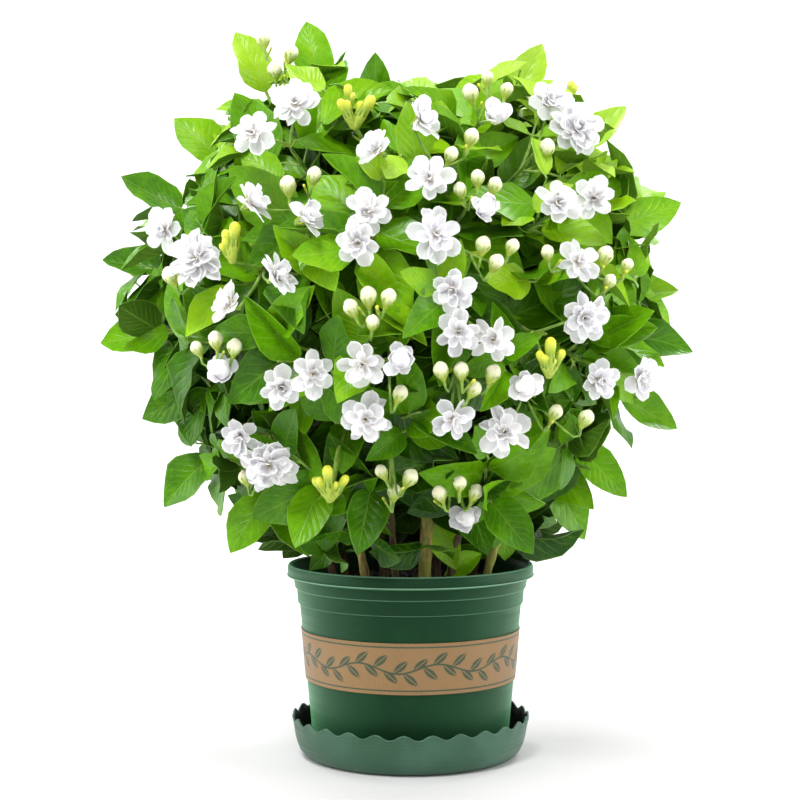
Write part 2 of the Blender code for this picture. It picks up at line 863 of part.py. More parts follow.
def grow_cane(number, tips, bush):
    """A cane's curved path from its hole in the soil to inside the crown."""
    x, y, radius = canes[number]
    foot = Vector((x, y, soil_top - cane_hole_depth + seat_gap))
    mean = sum(tips, nowhere) / len(tips)
    end = crown_centre.lerp(mean, 0.50)
    end.z = max(end.z, 0.26)
    above = Vector((x, y, soil_top + 0.006))
    length = (end - above).length
    lean = Vector((x * 0.6, y * 0.6, 0.0))
    shares = (1.0, 1.0, 0.86, 0.74, 0.62, 0.52)
    for attempt in range(24):
        angle = 2.4 * attempt
        shift = Vector((math.cos(angle), math.sin(angle), 0.0)) * (0.0025 * attempt)
        leave = up * (0.42 * length) + lean + shift
        path = [foot] + curve(above, leave, (end - above) * 0.3 + up * 0.01, end + shift, 4)
        piece = rod(path, [radius * share for share in shares], cane_sides)
        if bush.is_clear(grown(piece, air), ("soil",)):
            bush.add(f"cane_{number}", piece)
            return path, piece
    print("cane", number, "found no clear way")
    return path, piece


def grow_shoot(index, number, cane_path, tip, arrive, bush):
    """A thin shoot from the cane to a tip, bent clear of what is already there."""
    draw = dice("shoot", index)
    rise = max(0.0, min(1.0, (tip.z - 0.14) / 0.30))
    cane_length = path_length(cane_path)
    for attempt in range(60):
        angle = 2.4 * attempt + draw.uniform(0, 0.3)
        share = max(0.42 + 0.55 * rise - 0.02 * (attempt % 8), 0.32)
        start, run = along_path(cane_path, share * cane_length)
        heading = (cane_path[run + 1] - cane_path[run]).normalized()
        reach = tip - start
        span = reach.length
        side, lift = frame_round(reach)
        shift = (side * math.cos(angle) + lift * math.sin(angle)) * (0.0030 * attempt)
        leave = (heading * 0.55 + reach.normalized() * 0.45) * (span * 0.38) + shift
        path = curve(start, leave, arrive * (span * 0.30), tip, 3)
        path[2] = tip - arrive * (0.30 * span)
        piece = rod(path, [shoot_radius * 1.2] + [shoot_radius] * 3, shoot_sides)
        if bush.is_clear(grown(piece, air), (f"cane_{number}",)):
            bush.add(f"shoot_{number}", piece)
            return path
    return None


def leaf_face(out, lean, glance, draw):
    """Which way a blade's upper side looks: up and out to the light, and towards its shoot's glance."""
    jitter = Vector([draw.uniform(-0.25, 0.25) for _ in range(3)])
    return (out * lean + up * 0.45 + glance + jitter).normalized()


def leaf_spot(shoot, runs, pair, hand, draw):
    """Where a leaf of a pair starts, which side of the shoot it grows from, and how it points."""
    path = shoot["path"]
    total = path_length(path)
    distance = shoot["shares"][pair] * total
    travelled = 0.0
    for here, there in zip(path, path[1:]):
        travelled += (there - here).length
        if abs(distance - travelled) < leaf_root and travelled < total - 0.001:
            distance = travelled - leaf_root
    distance = min(distance, total - leaf_root)
    place, run = along_path(path, distance)
    heading, side = runs[run]
    lift = side.cross(heading)
    corner = (pair + hand) % shoot_sides
    angle = 2 * math.pi * (corner + 0.5) / shoot_sides
    normal = side * math.cos(angle) + lift * math.sin(angle)
    out = crown_normal(place)
    along = normal * 0.80 + heading * 0.45 + Vector([draw.uniform(-0.20, 0.20) for _ in range(3)])
    inward = -along.dot(out)
    if inward > 0.05:
        along += out * inward
    along.normalize()
    if along.dot(normal) < 0.45:
        along = (along + normal * 0.5).normalized()
    root = place + normal * (0.7 * shoot_radius)
    return distance, corner, root, along, leaf_face(out, 0.75, shoot["glance"], draw)


def fit_leaf(owner, root, along, face, size, wave, bush, tries):
    """The blade of one leaf, turned and shortened until it crosses nothing, or None."""
    for attempt in range(tries):
        swing = 0.10 * attempt * (1 if attempt % 2 else -1)
        tilt = 0.09 * (attempt // 2) * (1 if attempt % 4 < 2 else -1)
        heading = Matrix.Rotation(swing, 3, face) @ along
        cross = heading.cross(face).normalized()
        heading = Matrix.Rotation(tilt, 3, cross) @ heading
        top = Matrix.Rotation(tilt, 3, cross) @ face
        length = leaf_length * size * (1 - 0.02 * attempt)
        width = length * leaf_width_share
        probe = bare_leaf(root + heading * 0.003, heading, top, length - 0.002, width + 0.001, wave)
        if bush.is_clear(grown(probe, air)):
            bush.add(owner, probe)
            return root, heading, top, length, width, wave
    return None


def back_normal(number, count, low, high, offset):
    """A direction from the crown's middle to its back, spread by the golden angle."""
    turn = (math.radians(137.5) * number + offset) % (2 * math.pi)
    rise = low + (high - low) * (number + 0.5) / count
    swing = math.pi * 0.5 + (turn - math.pi) * back_sweep
    flat = math.sqrt(1 - rise * rise)
    return Vector((flat * math.cos(swing), flat * math.sin(swing), rise))


def crown_point(normal, size=1.0):
    return crown_centre + Vector([normal[i] * crown_size[i] * size for i in range(3)])


def back_heads(number):
    """A spray on the crown's back."""
    middle = crown_point(back_normal(number, back_sprays, -0.42, 0.80, 0.4))
    side, lift = frame_round(crown_normal(middle))
    kinds = ("double", "star", "rose", "loose", "pompon", "side")
    heads = [(kinds[number % 6], middle)]
    if number % 3 == 0:
        heads.append(("loose", middle + side * 0.026 + lift * 0.012))
    for index in range(3):
        angle = 2.1 * index + number
        spot = middle + (side * math.cos(angle) + lift * math.sin(angle)) * 0.030
        if all((spot - other).length > 0.022 for _, other in heads):
            heads.append(("green" if number % 5 == 3 else "bud", spot))
    return heads, middle


def plan_tips(sprays):
    """The end of every shoot: place, direction, leaf places along it, glance, and whether a leaf ends it."""
    tips = []
    for _, root, out in sprays:
        tips.append((root - out * seat_gap, out, spray_leaves, out * spray_glance, False))
    for x, z, y in outline_tips:
        scale = (y - eye.y) / -eye.y
        spot = Vector((eye.x + (x - eye.x) * scale, y, eye.z + (z - eye.z) * scale))
        spot = crown_centre.lerp(spot, outline_share)
        out = (crown_normal(spot) + up * 0.1).normalized()
        tips.append((spot, out, outline_leaves, outline_glance, True))
    for number in range(back_tips):
        normal = back_normal(number, back_tips, -0.60, 0.75, 2.0)
        tips.append((crown_point(normal, 0.93), normal, outline_leaves, back_glance, True))
    return tips


def grow_shoots(tips, stems, chosen, bush):
    """Every shoot with its end leaf, then the pairs of leaves, the outermost pair of all shoots first."""
    shoots = []
    for index, (tip, out, shares, glance, ends_in_leaf) in enumerate(tips):
        cane = chosen[index]
        path = grow_shoot(index, cane, stems[cane][0], tip, out, bush)
        if path is None:
            print("shoot", index, "found no clear way")
            continue
        draw = dice("end", index)
        tip_out = crown_normal(path[-1])
        heading = (path[1] - path[0]).normalized()
        side = heading.cross(tip_out + up * 0.3).normalized()
        side = Matrix.Rotation(draw.uniform(-0.4, 0.4), 3, heading) @ side
        end_leaf = None
        if ends_in_leaf:
            heading = (path[-1] - path[-2]).normalized()
            face = leaf_face(tip_out, 0.2, glance, draw)
            end_leaf = fit_leaf(f"leaf_{cane}", path[-1], heading, face, end_leaf_size, 0.03, bush, 16)
        shoots.append({
            "index": index,
            "cane": cane,
            "path": path,
            "side": side,
            "shares": shares,
            "glance": glance,
            "leaves": [],
            "end_leaf": end_leaf,
        })
    for pair in range(len(outline_leaves)):
        for shoot in shoots:
            if pair < len(shoot["shares"]):
                grow_pair(shoot, pair, bush)
    return shoots


def grow_pair(shoot, pair, bush):
    """A pair of leaves on opposite faces of a shoot, each where it crosses nothing."""
    runs = headings(shoot["path"], shoot["side"])
    for hand in (0, 1):
        draw = dice(f"leaf {shoot['index']} {pair}", hand)
        distance, corner, root, along, face = leaf_spot(shoot, runs, pair, hand, draw)
        size = draw.uniform(0.80, 1.10)
        wave = draw.uniform(-0.04, 0.04)
        blade = fit_leaf(f"leaf_{shoot['cane']}", root, along, face, size, wave, bush, 14)
        if blade:
            shoot["leaves"].append((distance, corner, blade))


def clothed_shoot(shoot, bush):
    """A shoot's skin with those of its leaves that stay clear of every other stem, and their number."""
    cane = shoot["cane"]
    path = shoot["path"]
    side = shoot["side"]
    end_leaf = shoot["end_leaf"]
    radii = (shoot_radius * 1.2, shoot_radius)
    own = [f"{part}_{cane}" for part in ("cane", "shoot", "leaf", "stem")]
    kept = []
    for blade in shoot["leaves"]:
        if bush.is_clear(grown(leafy_rod(path, radii, side, [blade], None), 0.5 * air), own):
            kept.append(blade)
    piece = leafy_rod(path, radii, side, kept, end_leaf)
    if end_leaf and not bush.is_clear(grown(piece, 0.5 * air), own):
        end_leaf = None
        piece = leafy_rod(path, radii, side, kept, None)
    bush.add(f"stem_{cane}", piece)
    return piece, len(kept) + bool(end_leaf)


def main():
    clear_scene()
    plastic = finish("moulded_green_plastic", (0.030, 0.095, 0.055), 0.38)
    paper = finish("tan_paper", (0.36, 0.22, 0.11), 0.75)
    earth = finish("potting_soil", (0.030, 0.017, 0.010), 0.95)
    foliage = finish("jasmine_leaf_and_cane", (0.085, 0.235, 0.022), 0.42)
    petal = finish("jasmine_petal", (0.82, 0.82, 0.84), 0.55)
    bush = Bush()
    for thing in (make_saucer(plastic), make_pot(plastic), make_band(paper), make_soil(earth)):
        bush.add(thing.name, as_piece(thing))

    sprays = []
    plans = [spray_plan(flowers) for flowers in front_sprays]
    plans += [back_heads(number) for number in range(back_sprays)]
    for number, (heads, middle) in enumerate(plans):
        pieces, root, out = build_spray(number, heads, middle)
        owner = f"spray_{number}"
        for piece in pieces:
            if not bush.is_clear(piece, (owner,)):
                print("spray", number + 1, "crosses another")
            bush.add(owner, piece)
        sprays.append((pieces, root, out))

    tips = plan_tips(sprays)
    chosen = choose_canes([tip[0] for tip in tips])
    stems = []
    for number in range(len(canes)):
        mine = [tips[index][0] for index in sorted(chosen) if chosen[index] == number]
        path, piece = grow_cane(number, mine, bush)
        stems.append((path, [piece]))
    shoots = grow_shoots(tips, stems, chosen, bush)
    leaves = 0
    for shoot in shoots:
        piece, count = clothed_shoot(shoot, bush)
        stems[shoot["cane"]][1].append(piece)
        leaves += count

    for number, (pieces, _, _) in enumerate(sprays):
        fused(f"flower_spray_{number + 1:02d}", pieces, petal)
    for number, (_, pieces) in enumerate(stems):
        fused(f"leafy_stem_{number + 1:02d}", pieces, foliage)
    print(f"{len(sprays)} sprays, {len(shoots)} shoots, {leaves} leaves")


main()
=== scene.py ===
import json
import math
import random
from functools import partial

import bpy
from mathutils import Matrix, Vector, noise
from mathutils.kdtree import KDTree

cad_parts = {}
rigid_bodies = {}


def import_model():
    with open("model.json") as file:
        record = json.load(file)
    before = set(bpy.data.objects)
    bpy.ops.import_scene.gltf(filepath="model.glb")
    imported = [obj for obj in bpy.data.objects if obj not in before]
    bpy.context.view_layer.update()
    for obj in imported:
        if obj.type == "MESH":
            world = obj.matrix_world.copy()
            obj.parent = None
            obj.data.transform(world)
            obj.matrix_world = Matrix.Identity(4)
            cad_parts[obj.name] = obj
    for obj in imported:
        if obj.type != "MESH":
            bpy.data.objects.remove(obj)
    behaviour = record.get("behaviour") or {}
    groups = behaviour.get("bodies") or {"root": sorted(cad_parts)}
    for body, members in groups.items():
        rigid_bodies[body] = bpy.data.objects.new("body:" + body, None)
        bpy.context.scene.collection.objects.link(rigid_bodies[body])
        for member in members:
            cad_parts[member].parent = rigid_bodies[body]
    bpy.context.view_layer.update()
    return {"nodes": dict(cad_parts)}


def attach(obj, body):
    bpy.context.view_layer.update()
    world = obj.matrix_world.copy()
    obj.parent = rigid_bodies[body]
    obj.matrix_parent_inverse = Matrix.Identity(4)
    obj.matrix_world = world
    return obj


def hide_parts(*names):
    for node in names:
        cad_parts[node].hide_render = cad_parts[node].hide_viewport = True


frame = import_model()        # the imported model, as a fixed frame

up = Vector((0.0, 0.0, 1.0))
nowhere = Vector((0.0, 0.0, 0.0))
print("frame loaded,", len(frame["nodes"]), "nodes")


# Adding, selecting and joining, as by hand

def pick(*things):
    for thing in bpy.context.view_layer.objects:
        thing.select_set(False)
    for thing in things:
        thing.select_set(True)
    if things:
        bpy.context.view_layer.objects.active = things[0]


def added(name, operator, **settings):
    pick()
    operator(**settings)
    thing = bpy.context.object
    thing.name = thing.data.name = name
    return thing


def linked(name, data):
    thing = bpy.data.objects.new(name, data)
    bpy.context.scene.collection.objects.link(thing)
    return thing


def joined(name, things):
    pick(*things)
    if len(things) > 1:
        bpy.ops.object.join()
    things[0].name = things[0].data.name = name
    return things[0]


def applyModifier(thing, kind, **settings):
    modifier = thing.modifiers.new(kind.title(), kind)
    for name, value in settings.items():
        setattr(modifier, name, value)
    pick(thing)
    bpy.ops.object.modifier_apply(modifier=modifier.name)


def cleanMesh(thing, mergeDistance=0.00002):
    pick(thing)
    bpy.ops.object.mode_set(mode="EDIT")
    bpy.ops.mesh.select_all(action="SELECT")
    bpy.ops.mesh.remove_doubles(threshold=mergeDistance)
    bpy.ops.mesh.normals_make_consistent(inside=False)
    bpy.ops.object.mode_set(mode="OBJECT")


def smoothShade(thing, degrees):
    pick(thing)
    bpy.ops.object.shade_smooth_by_angle(angle=math.radians(degrees))


def standFor(piece, slotName, *nodes):
    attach(piece, "root")
    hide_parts(*nodes)


def around(angle, side, lift):
    # the way at this angle, from side towards lift
    return side * math.cos(angle) + lift * math.sin(angle)


def graded(value, low, span):
    # 0 up to low, 1 from a span above it
    return min(max((value - low) / span, 0.0), 1.0)


# Colours and nodes

def linear(hexColour):
    channels = [int(hexColour[i:i + 2], 16) / 255 for i in (1, 3, 5)]
    return tuple(c / 12.92 if c <= 0.04045 else ((c + 0.055) / 1.055) ** 2.4 for c in channels) + (1.0,)


nodeKinds = dict(
    # a node's type, the sockets that its values go into, its output and its settings; eased goes from 0 at its
    # first bound to 1 at its second
    noise=("TexNoise", ("Vector", "Scale", "Detail"), 0, {}),
    stretched=("Mapping", ("Vector", "Scale"), 0, {}),
    eased=("MapRange", (0, 1, 2), 0, dict(interpolation_type="SMOOTHSTEP")),
    ranged=("MapRange", (0, 1, 2, 3, 4), 0, {}),
    mixed=("Mix", (0, 6, 7), 2, dict(data_type="RGBA")),
    bump=("Bump", ("Height", "Strength", "Distance"), 0, {}),
    ramp=("ValToRGB", (0,), 0, {}),
    split=("SeparateXYZ", (0,), slice(3), {}),
    flat=("CombineXYZ", (0, 1), 0, {}),
    onObject=("TexCoord", (), "Object", {}),
    onSurface=("UVMap", (), 0, dict(uv_map="UVMap")),
    tone=("Attribute", (), "Fac", dict(attribute_name="tone", attribute_type="GEOMETRY")),
)


def addNode(tree, kind, *values, stops=()):
    # a kind that the table hasn't is an operation of the Math node
    nodeType, sockets, output, settings = nodeKinds.get(kind, ("Math", (0, 1, 2), 0, dict(operation=kind)))
    node = tree.nodes.new("ShaderNode" + nodeType)
    for name, value in settings.items():
        setattr(node, name, value)
    for socket, value in zip(sockets, values):
        if isinstance(value, bpy.types.NodeSocket):
            tree.links.new(value, node.inputs[socket])
        else:
            node.inputs[socket].default_value = linear(value) if isinstance(value, str) else value
    if stops:
        elements = node.color_ramp.elements
        elements.remove(elements[-1])
        for index, (place, colour) in enumerate(stops):
            stop = elements.new(place) if index else elements[0]
            stop.position, stop.color = place, linear(colour)
    return node.outputs[output]


def startMaterial(name, colour, roughness, **extra):
    material = bpy.data.materials.new(name)
    material.use_nodes = True
    shader = material.node_tree.nodes["Principled BSDF"]
    for socket, value in dict(extra, Base_Color=linear(colour), Roughness=roughness).items():
        shader.inputs[socket.replace("_", " ")].default_value = value
    return material, partial(addNode, material.node_tree)


def wired(material, **outputs):
    tree = material.node_tree
    for socket, output in outputs.items():
        tree.links.new(output, tree.nodes["Principled BSDF"].inputs[socket.replace("_", " ")])
    return material


# Injection-moulded polypropylene: dark green with a satin skin, faint flow marks and a very fine orange-peel grain
def greenPolypropylene(name, dark, light, paintedEdgeHighlights=(), ribGap=0.0, shine=0.50, haze=0.0):
    material, add = startMaterial(name, dark, 0.45, Specular_IOR_Level=shine, Specular_Tint=linear("#9cdcb2"),
                                  Sheen_Weight=haze, Sheen_Roughness=0.5, Sheen_Tint=linear("#9effb8"))
    place = add("onObject")
    x, y, height = add("split", place)
    tint = add("mixed", add("eased", add("noise", place, 22, 4.0), 0.35, 0.7), dark, light)
    radius = add("SQRT", add("ADD", add("POWER", x, 2.0), add("POWER", y, 2.0)))
    for level, fromRadius, share in paintedEdgeHighlights:      # painted highlights along the outer edges, 0.5 mm wide
        edge = add("eased", add("ABSOLUTE", add("SUBTRACT", height, level)), 0.0004, 0.00015)
        edge = add("MULTIPLY", edge, add("GREATER_THAN", radius, fromRadius))
        tint = add("mixed", add("MULTIPLY", edge, share), tint, "#8fb59c")
    flow = add("noise", add("stretched", place, (0.3, 0.3, 9.0)), 60, 3.0)
    skin = add("noise", place, 1400, 2.0)      # 0.7 mm orange peel
    if ribGap:
        skin = add("MULTIPLY_ADD", add("SINE", add("MULTIPLY", height, 2 * math.pi / ribGap)), 0.9, skin)
    return wired(material, Base_Color=tint, Roughness=add("ranged", flow, 0.3, 0.7, 0.37, 0.52),
                 Normal=add("bump", skin, 0.12, 0.0002))


# Uncoated kraft paper: warm tan, short darker and lighter fibres, dull, with a sprig border printed in green ink
def printedKraft(length, height):
    material, add = startMaterial("printedKraft", "#876942", 0.45, Specular_IOR_Level=0.42)
    across, rise, _ = add("split", add("onSurface"))
    x, y = add("MULTIPLY", across, length), add("MULTIPLY", rise, height)      # in millimetres from here on
    fibres = add("noise", add("flat", x, add("MULTIPLY", y, 3.2)), 0.9, 6.0)
    blotch = add("noise", add("flat", x, y), 0.07)
    paper = add("mixed", add("eased", fibres, 0.36, 0.66), "#795b37", "#92744a")
    paper = add("mixed", add("eased", blotch, 0.3, 0.75), paper, "#896a43")
    worn = add("eased", fibres, 0.24, 0.40)      # ink skips the deepest fibres
    ink = add("MULTIPLY", printedSprigs(add, x, y, length, height), add("MULTIPLY", worn, 0.92))
    tint = add("mixed", ink, paper, "#24402c")
    return wired(material, Base_Color=tint, Normal=add("bump", fibres, 0.25, 0.0002))


sprig = dict(repeats=9, leaves=8, wave=3.1, stem=0.62, leafLength=6.4, leafWidth=2.4, midrib=0.28, lean=40,
             edge=2.6, edgeLine=0.5)      # in millimetres, and the lean in degrees


def printedSprigs(add, x, y, length, height):
    # a waving vine with leaves to both sides, and a line along each edge
    period = length / sprig["repeats"]
    long, wide = sprig["leafLength"], sprig["leafWidth"]
    local = add("SUBTRACT", add("MODULO", x, period), period / 2)
    centred = add("SUBTRACT", y, height / 2)
    vine = add("MULTIPLY", add("SINE", add("MULTIPLY", local, 2 * math.pi / period)), sprig["wave"])
    ink = add("LESS_THAN", add("ABSOLUTE", add("SUBTRACT", centred, vine)), sprig["stem"])
    for number in range(sprig["leaves"]):
        share = (number + 0.5) / sprig["leaves"] - 0.5
        turn = math.radians(sprig["lean"]) * (1 if number % 2 else -1)
        cosine, sine = math.cos(turn), math.sin(turn)
        shifted = add("ADD", local, (1.5 - share) * period - cosine * long)
        across = add("SUBTRACT", add("MODULO", shifted, period), period / 2)
        rise = add("SUBTRACT", centred, sprig["wave"] * math.sin(2 * math.pi * share) + sine * long)
        along = add("MULTIPLY_ADD", across, cosine, add("MULTIPLY", rise, sine))
        off = add("ABSOLUTE", add("MULTIPLY_ADD", rise, cosine, add("MULTIPLY", across, -sine)))
        edge = add("MULTIPLY_ADD", add("MULTIPLY", along, along), -wide / long ** 2, wide)
        leaf = add("MULTIPLY", add("LESS_THAN", off, edge), add("GREATER_THAN", off, sprig["midrib"]))
        ink = add("MAXIMUM", ink, leaf)
    fromEdge = add("SUBTRACT", height / 2 - sprig["edge"], add("ABSOLUTE", centred))
    return add("MAXIMUM", ink, add("LESS_THAN", add("ABSOLUTE", fromEdge), sprig["edgeLine"]))


# Peat and bark mix: nearly black, crumbly, quite dull
def peatMix():
    material, add = startMaterial("peatMix", "#2b2019", 0.95)
    grain = add("noise", add("onObject"), 420, 5.0)
    tint = add("ramp", grain, stops=((0.30, "#140d09"), (0.50, "#2d2119"), (0.66, "#4a3626"), (0.78, "#6a5038")))
    return wired(material, Base_Color=tint, Normal=add("bump", grain, 0.8, 0.0012))


# Woody bark, tan-olive when young and brown when old, the brown also darkened as painted shade:
# finely ridged along the cane, pale corky flecks, dull
def caneBark(name, greenColour, stops):
    material, add = startMaterial(name, stops[1][1], 0.8)
    ridges = add("noise", add("stretched", add("onObject"), (1.0, 1.0, 0.14)), 420, 5.0)
    patches = add("noise", add("stretched", add("onObject"), (1.0, 1.0, 0.5)), 60, 3.0)
    tint = add("mixed", add("eased", patches, 0.45, 0.7), add("ramp", ridges, stops=stops), greenColour)
    return wired(material, Base_Color=tint, Normal=add("bump", ridges, 0.7, 0.0006))


# What is soft and nearly of one colour, with a faint mottle
def mottled(name, colour, roughness, perMetre, bounds, dark, light, **extra):
    material, add = startMaterial(name, colour, roughness, **extra)
    cloud = add("eased", add("noise", add("onObject"), perMetre, 2.0), *bounds)
    return wired(material, Base_Color=add("mixed", cloud, dark, light))


# Jasmine leaf: a waxy skin above and a dull one below, a pale midrib with side veins sunk in it, blistered between
# them; dark when old, yellow-green when young, darker deep in the bush as painted shade, lighter high as painted
# light
def waxyLeaf(name, stops, gloss, veinShare, bumpStrength):
    material, add = startMaterial(name, "#53880c", gloss, Specular_IOR_Level=0.20)
    place, tone = add("onObject"), add("tone")
    u, along, _ = add("split", add("onSurface"))
    across = add("ABSOLUTE", add("SUBTRACT", u, 0.5))
    wander = add("MULTIPLY", add("SUBTRACT", add("noise", place, 45, 2.0), 0.5), 0.16)
    bent = add("MULTIPLY_ADD", add("POWER", across, 0.8), 0.62, wander)
    wobble = add("PINGPONG", add("MULTIPLY", tone, 9.0), 1.0)
    count = add("MULTIPLY_ADD", wobble, 3.0, 6.0)      # 6 to 9 side veins
    nearVein = add("PINGPONG", add("MULTIPLY", add("SUBTRACT", along, bent), count), 0.5)
    fade = add("MULTIPLY", add("eased", across, 0.47, 0.30), 0.6)
    sideVein = add("MULTIPLY", add("eased", nearVein, 0.13, 0.02), fade)
    veins = add("MAXIMUM", add("eased", across, 0.032, 0.012), sideVein)
    cloud = add("noise", place, 90, 3.0)
    mottle = add("noise", place, 380, 2.0)      # 2 to 3 mm
    shifted = add("MULTIPLY_ADD", add("SUBTRACT", cloud, 0.5), 0.36, tone)
    shifted = add("MULTIPLY_ADD", add("SUBTRACT", mottle, 0.5), 0.20, shifted)
    margin = add("MULTIPLY", add("eased", across, 0.455, 0.495), 0.8)      # a thin pale edge
    paler = add("MULTIPLY", add("MAXIMUM", veins, margin), veinShare)
    tint = add("mixed", paler, add("ramp", shifted, stops=stops), "#a8c95a")
    height = add("SUBTRACT", add("MULTIPLY_ADD", cloud, 1.2, add("MULTIPLY", nearVein, 0.8)), veins)
    return wired(material, Base_Color=tint, Normal=add("bump", height, bumpStrength, 0.0012))


# Jasmine petal: thin, soft and white, faintly lilac with a whiter rim that is a painted highlight, cream at its
# foot, finely lined
def softPetal():
    material, add = startMaterial("softPetal", "#fdfdfa", 0.6, Subsurface_Weight=0.55,
                                  Subsurface_Radius=(1.0, 0.98, 1.0), Subsurface_Scale=0.006)
    place = add("onSurface")
    u, along, _ = add("split", place)
    across = add("ABSOLUTE", add("SUBTRACT", u, 0.5))
    # the whiter rim is a painted highlight along the petal's edges and tip
    rim = add("MAXIMUM", add("eased", across, 0.30, 0.48), add("eased", along, 0.80, 0.98))
    lines = add("eased", add("noise", add("stretched", place, (26.0, 2.0, 1.0)), 1.0, 2.0), 0.45, 0.62)
    lines = add("MULTIPLY", lines, add("SUBTRACT", 1.0, rim))
    tint = add("mixed", add("tone"), "#f6f5f4", "#e6e5ee")
    tint = add("mixed", add("MULTIPLY", lines, 0.45), tint, "#e8e5ee")
    tint = add("mixed", rim, tint, "#ffffff")
    tint = add("mixed", add("MULTIPLY", add("eased", along, 0.42, 0.05), 0.75), tint, "#ebe3cc")
    return wired(material, Base_Color=tint, Normal=add("bump", lines, 0.35, 0.0004))


# Jasmine bud: smooth cream-white, greener towards its foot
def creamBud(name, tipColour, footColour, turnsAt):
    material, add = startMaterial(name, tipColour, 0.45, Subsurface_Weight=0.1, Subsurface_Scale=0.003)
    _, along, _ = add("split", add("onSurface"))
    tint = add("mixed", add("eased", along, *turnsAt), footColour, tipColour)
    streaks = add("eased", add("noise", add("onObject"), 500, 2.0), 0.5, 0.7)
    return wired(material, Base_Color=add("mixed", add("MULTIPLY", streaks, 0.20), tint, "#dadba4"))


# Camera, floor and light

studio = dict(
    eye=(-0.0072, -1.2, 0.2706),      # in front of the pot, a little above its band
    downTilt=1.31,
    lens=78.48,
    sweep=dict(width=18.0, front=-6.0, bendStart=2.2, bendRadius=1.0, top=5.0),
    sweepColour="#d2d2d2",
    ambient=0.30,
    lights=(
        # name, place, size, power, aim
        ("leftSoftbox", (-1.40, -0.15, 0.40), 1.3, 21.0, (0.0, 0.0, 0.10)),
        ("rightSoftbox", (1.40, -0.15, 0.40), 1.3, 19.0, (0.0, 0.0, 0.10)),
        ("frontSoftbox", (-0.45, -1.25, 1.80), 0.5, 29.0, (0.0, 0.0, 0.36)),
        ("fillSoftbox", (0.60, -2.10, 0.50), 1.8, 15.0, (0.0, 0.0, 0.36)),
        ("topSoftbox", (0.0, 0.10, 1.95), 1.4, 15.0, (0.0, 0.0, 0.30)),
        ("backdropLightLeft", (-1.5, 1.5, 2.6), 1.2, 90.0, (-0.5, 3.2, 0.5)),
        ("backdropLightRight", (1.5, 1.5, 2.6), 1.2, 90.0, (0.5, 3.2, 0.5)),
    ),
)
eye = Vector(studio["eye"])


def makeSweep():
    # a floor that curves up into a backdrop, far behind the plant
    size = studio["sweep"]
    flat = size["bendStart"] - size["front"]
    quarter = size["bendRadius"] * math.pi / 2
    sweep = added("paleSweep", bpy.ops.mesh.primitive_grid_add, x_subdivisions=2, y_subdivisions=160, size=1)
    for vertex in sweep.data.vertices:
        travelled = (vertex.co.y + 0.5) * (flat + quarter + size["top"])
        turned = min(max(travelled - flat, 0.0) / size["bendRadius"], math.pi / 2)
        rest = max(travelled - flat - quarter, 0.0)
        y = size["front"] + min(travelled, flat) + size["bendRadius"] * math.sin(turned)
        z = size["bendRadius"] * (1 - math.cos(turned)) + rest
        vertex.co = (vertex.co.x * size["width"], y, z - 0.0004)
    smoothShade(sweep, 60)
    paint = startMaterial("paleSweepPaint", studio["sweepColour"], 1.0, Specular_IOR_Level=0.0)[0]
    sweep.data.materials.append(paint)


def makeStudio():
    scene = bpy.context.scene
    scene.camera = linked("photoCamera", bpy.data.cameras.new("photoCamera"))
    scene.camera.data.sensor_width = 36
    scene.camera.data.lens = studio["lens"]
    scene.camera.location = studio["eye"]
    scene.camera.rotation_euler = (math.radians(90 - studio["downTilt"]), 0, 0)
    for name, place, size, power, aim in studio["lights"]:
        light = added(name, bpy.ops.object.light_add, type="AREA", location=place)
        light.data.size = size
        light.data.energy = power
        light.rotation_euler = (Vector(aim) - Vector(place)).to_track_quat("-Z", "Y").to_euler()
    scene.world = bpy.data.worlds.new("paleStudio")
    scene.world.use_nodes = True
    background = scene.world.node_tree.nodes["Background"]
    background.inputs[0].default_value = linear("#ffffff")
    background.inputs[1].default_value = studio["ambient"]
    scene.view_settings.view_transform = "Standard"
    makeSweep()


makeStudio()
print("studio ready")


# Saucer, pot, band and soil

def lathe(name, profile, steps):
    # a circle extruded and scaled from point to point of the profile, then closed at both ends
    radius, height = profile[0]
    piece = added(name, bpy.ops.mesh.primitive_circle_add, vertices=steps, radius=radius, location=(0, 0, height))
    bpy.ops.object.transform_apply(location=True, rotation=True, scale=True)
    bpy.ops.object.mode_set(mode="EDIT")
    bpy.ops.mesh.select_all(action="SELECT")
    for nextRadius, nextHeight in profile[1:]:
        bpy.ops.mesh.extrude_edges_move(TRANSFORM_OT_translate={"value": (0, 0, nextHeight - height)})
        bpy.ops.transform.resize(value=(nextRadius / radius, nextRadius / radius, 1))
        radius, height = nextRadius, nextHeight
    bpy.ops.mesh.select_all(action="SELECT")
    bpy.ops.mesh.fill_holes(sides=0)
    bpy.ops.mesh.select_all(action="SELECT")
    bpy.ops.mesh.normals_make_consistent(inside=False)
    bpy.ops.object.mode_set(mode="OBJECT")
    return piece


saucerSizes = dict(
    plastic=("palerPolypropylene", "#385343", "#446151", (), 0.0024),
    paintedShade=("paintedShadePolypropylene", "#040705", "#0a0f0b", (), 0.0, 0.15),      # its inside, darkened as painted shade
    steps=216,
    scallops=27,
    scallopRise=0.0017,
    scallopsFrom=0.0175,
    lip=0.026,
    profile=(
        (0.0560, 0.0000), (0.0700, 0.0000), (0.0722, 0.0007), (0.0742, 0.0024), (0.0765, 0.0052), (0.0781, 0.0090),
        (0.0792, 0.0130), (0.0800, 0.0175), (0.0806, 0.0215), (0.0813, 0.0250), (0.0816, 0.0260), (0.0812, 0.0266),
        (0.0804, 0.0266), (0.0798, 0.0258), (0.0791, 0.0215), (0.0783, 0.0170), (0.0774, 0.0130), (0.0763, 0.0090),
        (0.0745, 0.0055), (0.0722, 0.0032), (0.0700, 0.0024), (0.0560, 0.0022),
    ),
)


